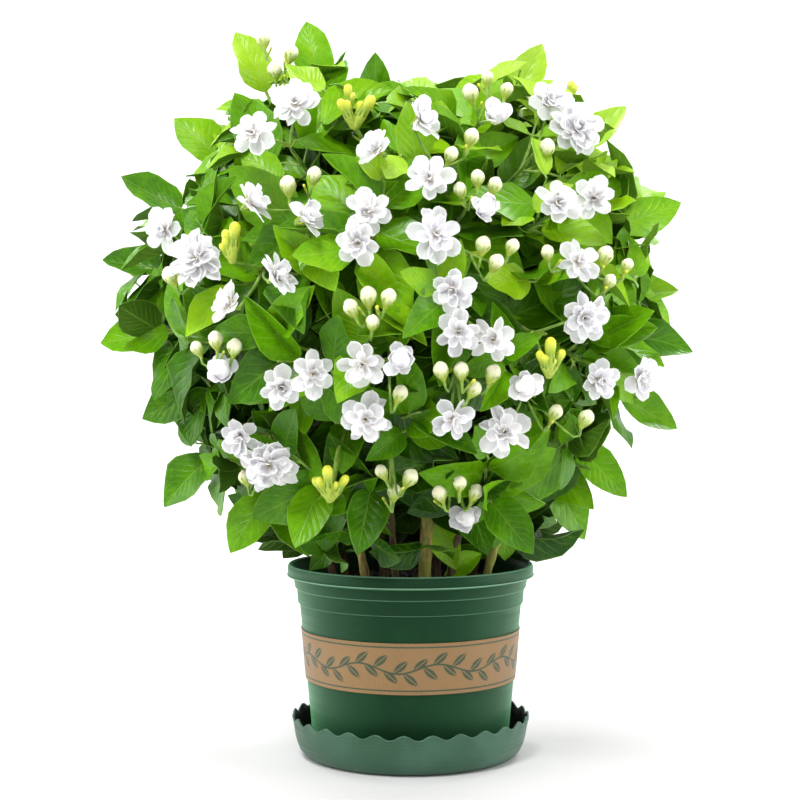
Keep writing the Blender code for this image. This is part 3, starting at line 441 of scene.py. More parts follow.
def makeSaucer():
    piece = lathe("scallopedSaucer", saucerSizes["profile"], saucerSizes["steps"])
    low = saucerSizes["scallopsFrom"]
    for vertex in piece.data.vertices:
        wave = math.cos(saucerSizes["scallops"] * math.atan2(vertex.co.y, vertex.co.x))
        vertex.co.z += saucerSizes["scallopRise"] * wave * graded(vertex.co.z, low, saucerSizes["lip"] - low)
    for kind in ("plastic", "paintedShade"):
        piece.data.materials.append(greenPolypropylene(*saucerSizes[kind]))
    # the inside and the floor of the saucer get the painted-shade material
    for face in piece.data.polygons:
        inward = -(face.normal.x * face.center.x + face.normal.y * face.center.y) / face.center.to_2d().length
        isFloor = face.normal.z > 0.7 and face.center.z < 0.01
        face.material_index = int(inward > 0.3 or isFloor)
    smoothShade(piece, 45)
    standFor(piece, "moulded_green_plastic", "saucer")


potSizes = dict(
    plastic=("greenPolypropylene", "#021d0b", "#062812",
             # the painted highlight lines: height, from which radius, and how pale
             ((0.1237, 0.083, 0.8), (0.1306, 0.080, 0.35), (0.1151, 0.0785, 0.22), (0.1049, 0.076, 0.18)),
             0.0, 0.36, 0.42),
    steps=128,
    drainHoles=5,
    drainRing=0.042,
    drainRadius=0.0045,
    profile=(
        # foot and outer wall
        (0.0500, 0.0025), (0.0648, 0.0025), (0.0662, 0.0030), (0.0667, 0.0042), (0.0697, 0.0360), (0.0729, 0.0700),
        (0.0758, 0.1000), (0.0762, 0.1040),
        # two steps under the rim
        (0.0766, 0.1046), (0.0774, 0.1049), (0.0776, 0.1054), (0.0781, 0.1140), (0.0784, 0.1146), (0.0792, 0.1150),
        (0.0795, 0.1156), (0.0803, 0.1200), (0.0809, 0.1222),
        # rolled rim
        (0.0826, 0.1228), (0.0843, 0.1230), (0.0849, 0.1233), (0.0850, 0.1238), (0.0848, 0.1242), (0.0844, 0.1246),
        (0.0845, 0.1262), (0.0846, 0.1290), (0.0842, 0.1302), (0.0836, 0.1309), (0.0824, 0.1310), (0.0814, 0.1306),
        (0.0805, 0.1290), (0.0796, 0.1240),
        # inside
        (0.0786, 0.1190), (0.0764, 0.1120), (0.0742, 0.1045), (0.0700, 0.0600), (0.0650, 0.0070), (0.0640, 0.0052),
        (0.0500, 0.0050),
    ),
)


def makePot():
    piece = lathe("nurseryPot", potSizes["profile"], potSizes["steps"])
    drills = []
    for number in range(potSizes["drainHoles"]):
        angle = 2 * math.pi * (number + 0.5) / potSizes["drainHoles"]
        place = (potSizes["drainRing"] * math.cos(angle), potSizes["drainRing"] * math.sin(angle), 0.004)
        drills.append(added("drainDrill", bpy.ops.mesh.primitive_cylinder_add, vertices=24,
                            radius=potSizes["drainRadius"], depth=0.012, location=place))
    drill = joined("drainDrill", drills)
    applyModifier(piece, "BOOLEAN", object=drill, operation="DIFFERENCE", solver="EXACT")
    bpy.data.objects.remove(drill)
    piece.data.materials.append(greenPolypropylene(*potSizes["plastic"]))
    smoothShade(piece, 32)
    standFor(piece, "moulded_green_plastic", "pot")


bandSizes = dict(low=0.053, high=0.087, overlap=0.009, offWall=0.0009, lift=0.0007, liftOver=0.003, ripple=0.00012,
                 steps=180, rows=3, thickness=0.0005)


def potRadius(height):
    return 0.0665 + (height - 0.0022) / (0.1045 - 0.0022) * (0.0762 - 0.0665)


def makeBand():
    # a strip of paper wrapped round the wall, its end glued over its start at the back
    low, tall = bandSizes["low"], bandSizes["high"] - bandSizes["low"]
    length = 2 * math.pi * potRadius((bandSizes["low"] + bandSizes["high"]) / 2)
    whole = length + bandSizes["overlap"]
    piece = added("paperBand", bpy.ops.mesh.primitive_grid_add, x_subdivisions=bandSizes["steps"],
                  y_subdivisions=bandSizes["rows"], size=1)
    for vertex in piece.data.vertices:
        height = low + (vertex.co.y + 0.5) * tall
        travelled = (vertex.co.x + 0.5) * whole
        angle = math.pi / 2 + 2 * math.pi * travelled / length
        lifted = graded(travelled, length - bandSizes["liftOver"], bandSizes["liftOver"]) * bandSizes["lift"]
        ripple = bandSizes["ripple"] * math.sin(9 * angle) * (1 if height > 0.07 else -1)
        radius = potRadius(height) + bandSizes["offWall"] + lifted + ripple
        vertex.co = (radius * math.cos(angle), radius * math.sin(angle), height)
    cleanMesh(piece)
    outward = piece.data.polygons[0].normal.dot(piece.data.polygons[0].center)
    applyModifier(piece, "SOLIDIFY", thickness=bandSizes["thickness"], offset=-1.0 if outward > 0 else 1.0)
    cleanMesh(piece)
    piece.data.materials.append(printedKraft(whole * 1000, tall * 1000))
    smoothShade(piece, 40)
    standFor(piece, "tan_paper", "label_band")


soilSizes = dict(steps=80, low=0.0053, top=0.117, edge=0.0759, wall=((0.0739, 0.1045), (0.0759, 0.1150)), rings=22,
                 clods=420, chips=120)


def soilHeight(x, y):
    mounds = 0.0016 * math.sin(90 * x + 1.0) * math.cos(75 * y) + 0.0010 * math.sin(210 * x + 160 * y)
    crumbs = 0.0012 * noise.noise(Vector((x, y, 0)) * 190) + 0.0008 * noise.noise(Vector((x, y, 3)) * 480)
    return soilSizes["top"] + mounds + crumbs


def makeSoil():
    edge, top = soilSizes["edge"], soilSizes["top"]
    profile = [(0.0600, soilSizes["low"]), (0.0645, soilSizes["low"]), *soilSizes["wall"]]
    profile += [(edge * (1 - ring / soilSizes["rings"]) - 0.0002, top) for ring in range(soilSizes["rings"])]
    body = lathe("pottingMix", profile, soilSizes["steps"])
    for vertex in body.data.vertices:
        if vertex.co.z > top - 0.0005:
            vertex.co.z = soilHeight(vertex.co.x, vertex.co.y)
    clod = added("clod", bpy.ops.mesh.primitive_ico_sphere_add, subdivisions=1, radius=1.0)
    chip = added("chip", bpy.ops.mesh.primitive_cube_add, size=1.0)
    draw = random.Random(5)
    things = [body]
    for number in range(soilSizes["clods"] + soilSizes["chips"]):
        isClod = number < soilSizes["clods"]
        reach = edge * math.sqrt(draw.random()) * 0.97
        angle = draw.uniform(0, 2 * math.pi)
        x, y = reach * math.cos(angle), reach * math.sin(angle)
        size = draw.uniform(0.0008, 0.0022) if isClod else draw.uniform(0.002, 0.004)
        flat = (1.0, draw.uniform(0.6, 1.0), draw.uniform(0.5, 0.9)) if isClod else (1.0, 0.45, 0.2)
        scale = Matrix.Diagonal((size * flat[0], size * flat[1], size * flat[2], 1.0))
        turn = Matrix.Rotation(draw.uniform(0, 6.28), 4, "Z") @ Matrix.Rotation(draw.uniform(-0.5, 0.5), 4, "X")
        crumb = linked("crumb", (clod if isClod else chip).data.copy())
        crumb.data.transform(Matrix.Translation((x, y, soilHeight(x, y) + 0.25 * size)) @ turn @ scale)
        things.append(crumb)
    for source in (clod, chip):
        bpy.data.objects.remove(source)
    piece = joined("pottingMix", things)
    piece.data.materials.clear()
    piece.data.materials.append(peatMix())
    smoothShade(piece, 50)
    standFor(piece, "potting_soil", "soil")


makeSaucer()
makePot()
makeBand()
makeSoil()
print("pot, saucer, band and soil done")


# The bush: where everything grows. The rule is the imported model's own, and where it had to try several ways round
# its neighbours, the way that the model took is known by its corners

bush = dict(
    seed=20,
    leafLength=0.055,
    leafWidthShare=0.62,
    tipDroop=0.10,
    leafRoot=0.0022,
    endLeafSize=0.85,
    forkDepth=0.025,
    stalkLength=0.011,
    shootRadius=0.0017,
    soilTop=0.117,
    caneHoleDepth=0.036,
    outlineShare=0.91,
    backSweep=0.38,
    backSprays=14,
    backKinds=("double", "star", "rose", "loose", "pompon", "side"),
    backTips=6,
    seatGap=0.0003,
    sprayLeaves=(0.84,),
    outlineLeaves=(0.86, 0.62),
)
crownCentre = Vector((-0.009, 0.004, 0.318))
crownSize = Vector((0.196, 0.180, 0.178))
bloomRadius = dict(pompon=0.0190, double=0.0175, star=0.0155, loose=0.0150, rose=0.0135, side=0.0150)
bloomDepth = 0.42
budLength = dict(bud=0.0150, green=0.0130)

# where each cane leaves the soil, and its radius there
canes = (
    (-0.030, -0.038, 0.0030), (-0.010, -0.045, 0.0028), (0.009, -0.040, 0.0048), (0.027, -0.037, 0.0030),
    (0.051, -0.025, 0.0030), (-0.053, -0.008, 0.0030), (-0.045, 0.026, 0.0030), (-0.015, 0.045, 0.0032),
    (0.018, 0.046, 0.0030), (0.045, 0.027, 0.0032), (-0.018, 0.000, 0.0035), (0.018, 0.006, 0.0035),
)
youngCanes = (0, 2, 4)      # olive-tan and in the light, the others a darker brown that is partly painted shade

# front sprays, each flower or bud as seen from the front at x and z on the plane through the pot's axis, in
# millimetres
frontSprays = (
    dict(pompon=[(-147, 340)], loose=[(-169, 360)], bud=[(-165, 329)]),
    dict(pompon=[(113, 429)], loose=[(95, 448)], bud=[(94, 417)]),
    dict(pompon=[(-97, 199)], loose=[(-117, 218)], bud=[(-114, 190)]),
    dict(double=[(-79, 446)], star=[(-108, 426)]),
    dict(double=[(17, 357)], bud=[(50, 350), (59, 338), (70, 349)]),
    dict(double=[(-31, 230)], bud=[(-20, 194), (0, 190), (-11, 180)]),
    dict(double=[(119, 300)], green=[(93, 285), (87, 276), (101, 276)]),
    dict(double=[(64, 221)], rose=[(79, 252)], bud=[(100, 235), (121, 231)]),
    dict(side=[(7, 435)], star=[(13, 395)], bud=[(28, 412), (42, 424)]),
    dict(star=[(29, 230)], bud=[(21, 264), (35, 264), (44, 251), (57, 262)]),
    dict(star=[(-33, 268)], rose=[(-8, 271)], bud=[(-7, 248)]),
    dict(star=[(115, 338)], bud=[(134, 343), (149, 336), (137, 325), (94, 345)]),
    dict(star=[(57, 285)], loose=[(33, 290), (29, 319)]),
    dict(side=[(-23, 415)], green=[(-42, 453), (-47, 443), (-26, 445)]),
    dict(side=[(-124, 309), (-92, 328)], green=[(-117, 360), (-124, 350)]),
    dict(side=[(-73, 368), (-110, 378)], bud=[(-84, 391), (-66, 398)]),
    dict(rose=[(58, 436)], bud=[(53, 464), (41, 454), (66, 456)]),
    dict(rose=[(51, 373)], bud=[(46, 396), (34, 388), (58, 391)]),
    dict(rose=[(-130, 261)], bud=[(-134, 285), (-147, 279), (-121, 280)]),
    dict(rose=[(38, 161)], bud=[(34, 186), (20, 179), (45, 180)]),
    dict(loose=[(-29, 372), (-36, 351)]),
    dict(loose=[(101, 379), (126, 382)]),
    dict(loose=[(-89, 252), (-67, 261)]),
    dict(loose=[(129, 257), (158, 259)]),
    dict(bud=[(-29, 315), (-41, 307), (-15, 314), (-26, 297)]),
    dict(bud=[(-101, 490), (-82, 481), (-93, 470)]),
    dict(green=[(-55, 200), (-63, 191), (-43, 192)]),
)

# leafy tips that draw the outline, by x and z on that plane, with their depth in y
outlineTips = (
    (-108, 468, 0), (-66, 474, 20), (-22, 446, -10), (78, 460, 10), (-142, 415, 20), (-172, 380, -10),
    (-184, 334, 20), (-182, 286, -15), (-158, 244, 10), (-150, 192, -10), (-108, 165, -50), (128, 424, 20),
    (158, 366, 0), (156, 318, 30), (163, 283, -20), (160, 238, 20), (128, 200, -30), (106, 172, 10),
    (62, 158, -90), (-30, 166, -100), (-68, 170, -95),
)


def dice(kind, number):
    # a seeded draw for each thing that grows
    return random.Random(f"{bush['seed']} {kind} {number}")


def shaken(draw, reach):
    return Vector([draw.uniform(-reach, reach) for _ in range(3)])


def frameRound(direction):
    # two ways square to this one, the second the upper
    along = direction.normalized()
    side = along.cross(up)
    if side.length < 0.01:
        side = along.cross(Vector((0.0, 1.0, 0.0)))
    side.normalize()
    return side, side.cross(along)


def curvePoints(start, leave, arrive, end, steps):
    first, second = start + leave, end - arrive
    path = []
    for step in range(steps + 1):
        t = step / steps
        s = 1 - t
        path.append(start * s ** 3 + first * (3 * s * s * t) + second * (3 * s * t * t) + end * t ** 3)
    return path


def pathLength(path):
    return sum((there - here).length for here, there in zip(path, path[1:]))


def alongPath(path, distance):
    for index, (here, there) in enumerate(zip(path, path[1:])):
        length = (there - here).length
        if distance <= length or index == len(path) - 2:
            return here + (there - here) * (min(distance, length) / length), index
        distance -= length


def pathSides(path, side):
    # the way along each run of the path, and a side carried along with it
    runs = []
    for here, there in zip(path, path[1:]):
        along = (there - here).normalized()
        side = (side - along * side.dot(along)).normalized()
        runs.append((along, side))
    return runs


def crownNormal(point):
    offset = point - crownCentre
    return Vector([offset[i] / crownSize[i] ** 2 for i in range(3)]).normalized()


def crownDepth(point):
    offset = point - crownCentre
    return Vector([offset[i] / crownSize[i] for i in range(3)]).length


def crownPoint(normal, size=1.0):
    return crownCentre + Vector([normal[i] * crownSize[i] * size for i in range(3)])


def onCrown(x, z, size):
    # where the line of sight through x and z meets the crown
    sight = (Vector((x, 0.0, z)) - eye).normalized()
    start, ray = (Vector([reach[i] / (crownSize[i] * size) for i in range(3)])
                  for reach in (eye - crownCentre, sight))
    a, b = ray.dot(ray), start.dot(ray)
    root = b * b - a * (start.dot(start) - 1)
    return eye + sight * ((-b - math.sqrt(max(root, 0.0))) / a)


def backNormal(number, count, low, high, offset):
    # places spread evenly over the bush's back
    turn = (math.radians(137.5) * number + offset) % (2 * math.pi)
    rise = low + (high - low) * (number + 0.5) / count
    swing = math.pi * 0.5 + (turn - math.pi) * bush["backSweep"]
    flat = math.sqrt(1 - rise * rise)
    return Vector((flat * math.cos(swing), flat * math.sin(swing), rise))


def planSprays():
    plans = []
    for flowers in frontSprays:
        heads = [(kind, onCrown(x / 1000, z / 1000, 0.985 if kind in budLength else 1.0))
                 for kind, spots in flowers.items() for x, z in spots]
        plans.append((heads, sum((spot for _, spot in heads), nowhere) / len(heads)))
    for number in range(bush["backSprays"]):
        middle = crownPoint(backNormal(number, bush["backSprays"], -0.42, 0.80, 0.4))
        side, lift = frameRound(crownNormal(middle))
        heads = [(bush["backKinds"][number % 6], middle)]
        if number % 3 == 0:
            heads.append(("loose", middle + side * 0.026 + lift * 0.012))
        for index in range(3):
            spot = middle + around(2.1 * index + number, side, lift) * 0.030
            if all((spot - other).length > 0.022 for _, other in heads):
                heads.append(("green" if number % 5 == 3 else "bud", spot))
        plans.append((heads, middle))
    return plans


def growSpray(number, heads, middle):
    # each head as kind, stem path, where it faces, its place and its turn
    out = crownNormal(middle)
    fork = middle - out * bush["forkDepth"]
    root = fork - out * bush["stalkLength"]
    grown = []
    draw = dice("spray", number)
    for index, (kind, spot) in enumerate(heads):
        towards = crownNormal(spot)
        view = (eye - spot).normalized() if spot.y < 0.03 else towards
        jitter = shaken(draw, 0.25)
        start = [root, fork] if index == 0 else [fork]
        if kind in budLength:
            along = ((spot - fork).normalized() * 0.6 + towards * 0.5 + up * 0.6 + jitter * 0.6).normalized()
            foot = spot - along * (0.5 * budLength[kind])
            if index == 0:
                start.append(fork.lerp(foot, 0.5) + out * 0.003)
            grown.append((kind, start + [foot], along, foot, 0.0))
            continue
        facing = towards * 0.6 + view * 0.8 + jitter
        if kind == "side":
            side, lift = frameRound(view)
            facing = facing * 0.4 + side * draw.choice((-1.0, 1.0)) * 0.8 + lift * 0.35
        facing.normalize()
        calyx = spot - facing * (bloomDepth * bloomRadius[kind])
        bend = fork.lerp(calyx, 0.55) + out * 0.002 - facing * 0.002
        grown.append((kind, start + [bend, calyx], facing, spot, draw.uniform(0, 1.2)))
    return grown, root, out


def planTips(sprays):
    # each tip's place, where it points, its leaves, where they glance, and whether it ends in a leaf
    tips = [(root - out * bush["seatGap"], out, bush["sprayLeaves"], out * 0.2, False) for _, root, out in sprays]
    for tip in outlineTips:
        x, z, y = (place / 1000 for place in tip)
        scale = (y - eye.y) / -eye.y
        spot = Vector((eye.x + (x - eye.x) * scale, y, eye.z + (z - eye.z) * scale))
        spot = crownCentre.lerp(spot, bush["outlineShare"])
        out = (crownNormal(spot) + up * 0.1).normalized()
        tips.append((spot, out, bush["outlineLeaves"], Vector((0.0, -0.75, 0.0)), True))
    for number in range(bush["backTips"]):
        normal = backNormal(number, bush["backTips"], -0.60, 0.75, 2.0)
        tips.append((crownPoint(normal, 0.93), normal, bush["outlineLeaves"], Vector((0.0, 0.40, 0.0)), True))
    return tips


def chooseCanes(tips):
    # the nearest tips and canes together first, and no cane with too many
    limit = math.ceil(len(tips) / len(canes)) + 1
    pairs = []
    for index, tip in enumerate(tips):
        flat = Vector((tip.x - crownCentre.x, tip.y - crownCentre.y))
        for number, (x, y, _) in enumerate(canes):
            pairs.append(((flat - Vector((x, y)) * 3.0).length, index, number))
    chosen = {}
    load = [0] * len(canes)
    for _, index, number in sorted(pairs):
        if index not in chosen and load[number] < limit:
            chosen[index] = number
            load[number] += 1
    return chosen


def cornersOf(node):
    vertices = frame["nodes"][node].data.vertices
    tree = KDTree(len(vertices))
    for index, vertex in enumerate(vertices):
        tree.insert(vertex.co, index)
    tree.balance()
    return tree


def hasRing(tree, centre, radius):
    # whether the model has the corners of a stem's ring here
    found = {tuple(round(c, 5) for c in place) for place, _, away in tree.find_range(centre, radius * 1.06)
             if away > radius * 0.94}
    return len(found) >= 3


def growCane(number, tips, corners):
    x, y, radius = canes[number]
    foot = Vector((x, y, bush["soilTop"] - bush["caneHoleDepth"] + bush["seatGap"]))
    end = crownCentre.lerp(sum(tips, nowhere) / len(tips), 0.50)
    end.z = max(end.z, 0.26)
    above = Vector((x, y, bush["soilTop"] + 0.006))
    length = (end - above).length
    for attempt in range(24):
        shift = Vector((math.cos(2.4 * attempt), math.sin(2.4 * attempt), 0.0)) * (0.0025 * attempt)
        leave = up * (0.42 * length) + Vector((x * 0.6, y * 0.6, 0.0)) + shift
        path = [foot] + curvePoints(above, leave, (end - above) * 0.3 + up * 0.01, end + shift, 4)
        if hasRing(corners, path[2], radius * 0.86):
            return path
    print("cane", number, "isn't where the model has it")
    return path


def growShoot(index, canePath, tip, arrive, corners):
    draw = dice("shoot", index)
    rise = graded(tip.z, 0.14, 0.30)
    for attempt in range(60):
        angle = 2.4 * attempt + draw.uniform(0, 0.3)
        share = max(0.42 + 0.55 * rise - 0.02 * (attempt % 8), 0.32)
        start, run = alongPath(canePath, share * pathLength(canePath))
        heading = (canePath[run + 1] - canePath[run]).normalized()
        reach = tip - start
        span = reach.length
        shift = around(angle, *frameRound(reach)) * (0.0030 * attempt)
        leave = (heading * 0.55 + reach.normalized() * 0.45) * (span * 0.38) + shift
        path = curvePoints(start, leave, arrive * (span * 0.30), tip, 3)
        path[2] = tip - arrive * (0.30 * span)
        share = (path[1] - path[0]).length / pathLength(path)
        if hasRing(corners, path[1], bush["shootRadius"] * (1.2 - 0.2 * share)):
            return path
    print("shoot", index, "isn't where the model has it")
    return None


def turnedOut(along, out):
    # no leaf points into the bush
    inward = -along.dot(out)
    return (along + out * inward if inward > 0.05 else along).normalized()


def leafFace(out, lean, glance, draw):
    jitter = shaken(draw, 0.25)
    return (out * lean + up * 0.45 + glance + jitter).normalized()


def leafSpot(path, runs, share, pair, hand, glance, draw):
    total = pathLength(path)
    distance = share * total
    travelled = 0.0
    for here, there in zip(path, path[1:]):
        travelled += (there - here).length
        if abs(distance - travelled) < bush["leafRoot"] and travelled < total - 0.001:
            distance = travelled - bush["leafRoot"]
    place, run = alongPath(path, min(distance, total - bush["leafRoot"]))
    heading, side = runs[run]
    normal = around(2 * math.pi * ((pair + hand) % 3 + 0.5) / 3, side, side.cross(heading))
    out = crownNormal(place)
    along = turnedOut(normal * 0.80 + heading * 0.45 + shaken(draw, 0.20), out)
    if along.dot(normal) < 0.45:
        along = (along + normal * 0.5).normalized()
    return place + normal * (0.7 * bush["shootRadius"]), along, leafFace(out, 0.75, glance, draw)


def fitLeaf(root, along, face, size, corners, tries):
    for attempt in range(tries):
        swing = 0.10 * attempt * (1 if attempt % 2 else -1)
        tilt = 0.09 * (attempt // 2) * (1 if attempt % 4 < 2 else -1)
        heading = Matrix.Rotation(swing, 3, face) @ along
        lean = Matrix.Rotation(tilt, 3, heading.cross(face).normalized())
        heading = (lean @ heading).normalized()
        top = lean @ face
        top = (top - heading * top.dot(heading)).normalized()
        length = bush["leafLength"] * size * (1 - 0.02 * attempt)
        tip = root + heading * length - top * (bush["tipDroop"] * length)
        if corners.find(tip)[2] < 0.00008:      # the model has a corner here
            return root, heading, top, length
    return None


def leafShoot(index, path, shares, glance, endsInLeaf, corners):
    draw = dice("end", index)
    out = crownNormal(path[-1])
    heading = (path[1] - path[0]).normalized()
    side = heading.cross(out + up * 0.3).normalized()
    runs = pathSides(path, Matrix.Rotation(draw.uniform(-0.4, 0.4), 3, heading) @ side)
    blades = []
    if endsInLeaf:
        ahead = (path[-1] - path[-2]).normalized()
        blades.append(fitLeaf(path[-1], ahead, leafFace(out, 0.2, glance, draw), bush["endLeafSize"], corners, 16))
    for pair, share in enumerate(shares):
        for hand in (0, 1):
            draw = dice(f"leaf {index} {pair}", hand)
            spot = leafSpot(path, runs, share, pair, hand, glance, draw)
            blades.append(fitLeaf(*spot, draw.uniform(0.80, 1.10), corners, 14))
    return [blade for blade in blades if blade]


sprays = [growSpray(number, heads, middle) for number, (heads, middle) in enumerate(planSprays())]
tips = planTips(sprays)
chosen = chooseCanes([tip[0] for tip in tips])
corners = [cornersOf(f"leafy_stem_{number + 1:02d}") for number in range(len(canes))]
canePaths = []
for number in range(len(canes)):
    mine = [tips[index][0] for index in sorted(chosen) if chosen[index] == number]
    canePaths.append(growCane(number, mine, corners[number]))
shoots = []
for index, (tip, out, *manner) in enumerate(tips):
    cane = chosen[index]
    path = growShoot(index, canePaths[cane], tip, out, corners[cane])
    if path:
        blades = leafShoot(index, path, *manner, corners[cane])
        shoots.append(dict(index=index, cane=cane, path=path, blades=blades))
print(len(sprays), "sprays,", len(shoots), "shoots,", sum(len(shoot["blades"]) for shoot in shoots), "leaves")


# Leaves, petals and buds: each modelled once, then copied with its own mesh

def giveTone(thing):
    thing.data.attributes.new("tone", "FLOAT", "FACE")
    return thing


def bladeFrom(name, columns, rows, shape, thickness, *materials):
    # a grid shaped row by row, with its face up and its tip along +Y, then given its thickness
    steps = len(rows) - 1
    blade = added(name, bpy.ops.mesh.primitive_grid_add, x_subdivisions=columns, y_subdivisions=steps, size=1)
    spots = []
    for vertex in blade.data.vertices:
        along, share = rows[round((vertex.co.y + 0.5) * steps)]
        spots.append((2 * vertex.co.x, along))
        vertex.co = shape(2 * vertex.co.x, along, share)
    layer = blade.data.uv_layers[0]
    layer.name = "UVMap"
    for loop in blade.data.loops:
        across, along = spots[loop.vertex_index]
        layer.uv[loop.index].vector = (0.5 + 0.5 * across, along)
    for material in materials:
        blade.data.materials.append(material)
    applyModifier(blade, "SOLIDIFY", thickness=thickness, offset=-1.0, material_offset=len(materials) - 1)
    smoothShade(blade, 70)
    return giveTone(blade)


def placedCopy(template, root, along, face, length, tone=0.5, widen=1.0):
    # the template's Y along the leaf or petal, its Z up the face
    mesh = template.data.copy()
    turn = Matrix((along.cross(face) * widen, along, face)).transposed().to_4x4()
    mesh.transform(Matrix.Translation(root) @ turn @ Matrix.Scale(length, 4))
    values = mesh.attributes["tone"].data
    values.foreach_set("value", [tone] * len(values))
    return linked(template.name + "Copy", mesh)


leafForm = dict(
    # share of the length, and of the width, from the stalk to the tip
    largeRows=((0.0, 0.06), (0.03, 0.31), (0.10, 0.62), (0.22, 0.89), (0.37, 1.00), (0.53, 0.95), (0.69, 0.77),
               (0.84, 0.48), (0.94, 0.20), (1.0, 0.0)),
    smallRows=((0.0, 0.06), (0.04, 0.37), (0.13, 0.72), (0.28, 0.96), (0.46, 0.99), (0.64, 0.83), (0.81, 0.53),
               (0.93, 0.22), (1.0, 0.0)),
    columns=4,
    thickness=0.008,      # of the length, so about 0.4 mm
    # how deep the midrib lies, how far the edges wave, how far the blade arches, where its waves start, and how
    # far its two halves fold up
    large=((0.045, 0.026, 0.10, 0.0, 0.00), (0.050, 0.046, 0.18, 1.1, 0.30), (0.040, 0.062, 0.04, 2.3, -0.12),
           (0.060, 0.036, 0.14, 3.6, 0.55), (0.045, 0.074, 0.26, 4.7, 0.15), (0.035, 0.046, -0.06, 5.5, 0.40)),
    small=((0.050, 0.030, 0.12, 0.6, 0.08), (0.060, 0.056, 0.28, 2.0, 0.45), (0.045, 0.046, 0.02, 3.8, -0.10),
           (0.070, 0.028, 0.14, 5.0, 0.80), (0.040, 0.074, -0.10, 1.4, 0.25)),
)


def makeLeafTemplate(name, rows, habit):
    midrib, wave, arch, phase, fold = habit
    half = bush["leafWidthShare"] / 2

    def shape(across, along, share):
        swell = math.sin(math.pi * along)
        z = wave * math.sin(9.5 * along + phase + 1.9 * across) * abs(across) ** 1.5 * swell
        z -= midrib * swell * (1 - abs(across) ** 1.4)
        z += arch * swell * 0.5 - (bush["tipDroop"] + 0.4 * arch) * along ** 2 + 0.4 * arch * along ** 4
        z += fold * abs(across) * share * half * math.cos(fold)
        sweep = 0.03 * math.sin(2.5 * along + phase)
        uneven = 1 + 0.05 * math.sin(10 * along + phase + (2 if across > 0 else 0))
        return (across * share * half * uneven * math.cos(fold) + sweep * along, along, z)

    return bladeFrom(name, leafForm["columns"], rows, shape, leafForm["thickness"], leafUpper, leafUnder)


petalForm = dict(
    rows=((0.0, 0.34), (0.16, 0.52), (0.36, 0.82), (0.56, 0.99), (0.74, 0.96), (0.88, 0.74), (0.965, 0.42),
          (1.0, 0.16)),
    columns=4,
    thickness=0.016,      # of the length, so about 0.25 mm
    # width of the petal for its length, cup across, cup along, curl of the tip, and where its edge is notched
    kinds=dict(
        wide=(0.76, 0.09, 0.08, 0.12, 0.0),
        round=(0.68, 0.18, 0.14, 0.04, 1.2),
        cupped=(0.80, 0.34, 0.34, 0.04, 2.6),
        folded=(0.52, 0.50, 0.08, 0.12, 3.9),
        narrow=(0.44, 0.20, 0.12, 0.10, 5.1),
    ),
)


def makePetalTemplate(name, habit):
    width, cupAcross, cupAlong, curl, phase = habit

    def shape(across, along, share):
        bend = cupAcross * abs(across) ** 1.6 * share * width * 0.9
        narrowed = across * share * width / 2 * (1 - 0.35 * min(cupAcross, 1.0) * abs(across))
        edge = 0.020 * math.sin(7 * across + phase) * along
        z = bend + cupAlong * along ** 2 - curl * max(0.0, along - 0.6) ** 2 * 3
        z += 0.018 * math.sin(11 * along + 3 * across + phase) * abs(across)
        return (narrowed, along + edge - 0.05 * across ** 2 * along ** 8, z)

    return bladeFrom(name, petalForm["columns"], petalForm["rows"], shape, petalForm["thickness"], petalSkin)


sepalForm = dict(rows=((0.0, 0.6), (0.30, 1.0), (0.70, 0.7), (1.0, 0.05)), columns=2, width=0.19, thickness=0.05)


def makeSepalTemplate():
    def shape(across, along, share):
        return (across * share * sepalForm["width"] / 2, along, 0.05 * abs(across) + 0.16 * along ** 2)

    return bladeFrom("sepal", sepalForm["columns"], sepalForm["rows"], shape, sepalForm["thickness"], sepalSkin)


budForms = dict(
    # height and radius as shares of the bud's length; the folded petals wind up it
    bud=dict(profile=((0.00, 0.08), (0.09, 0.13), (0.18, 0.22), (0.30, 0.315), (0.46, 0.375), (0.61, 0.385),
                      (0.76, 0.335), (0.88, 0.225), (0.95, 0.11), (0.975, 0.02)), fold=0.12, sepals=8,
             sepalLength=0.48, spread=0.78, seat=0.10, cup=0.14),
    green=dict(profile=((0.00, 0.085), (0.12, 0.090), (0.30, 0.098), (0.50, 0.112), (0.66, 0.136), (0.79, 0.152),
                        (0.90, 0.134), (0.97, 0.075), (0.99, 0.015)), fold=0.05, sepals=6, sepalLength=0.30,
               spread=0.14, seat=0.34, cup=0.118),
    # the closed petals in the middle of a half-open bloom
    heart=dict(profile=((0.00, 0.12), (0.20, 0.30), (0.42, 0.46), (0.64, 0.50), (0.82, 0.40), (0.94, 0.22),
                        (0.99, 0.05)), fold=0.20, sepals=0),
    steps=18,
    windings=3,
    twist=2.6,
)


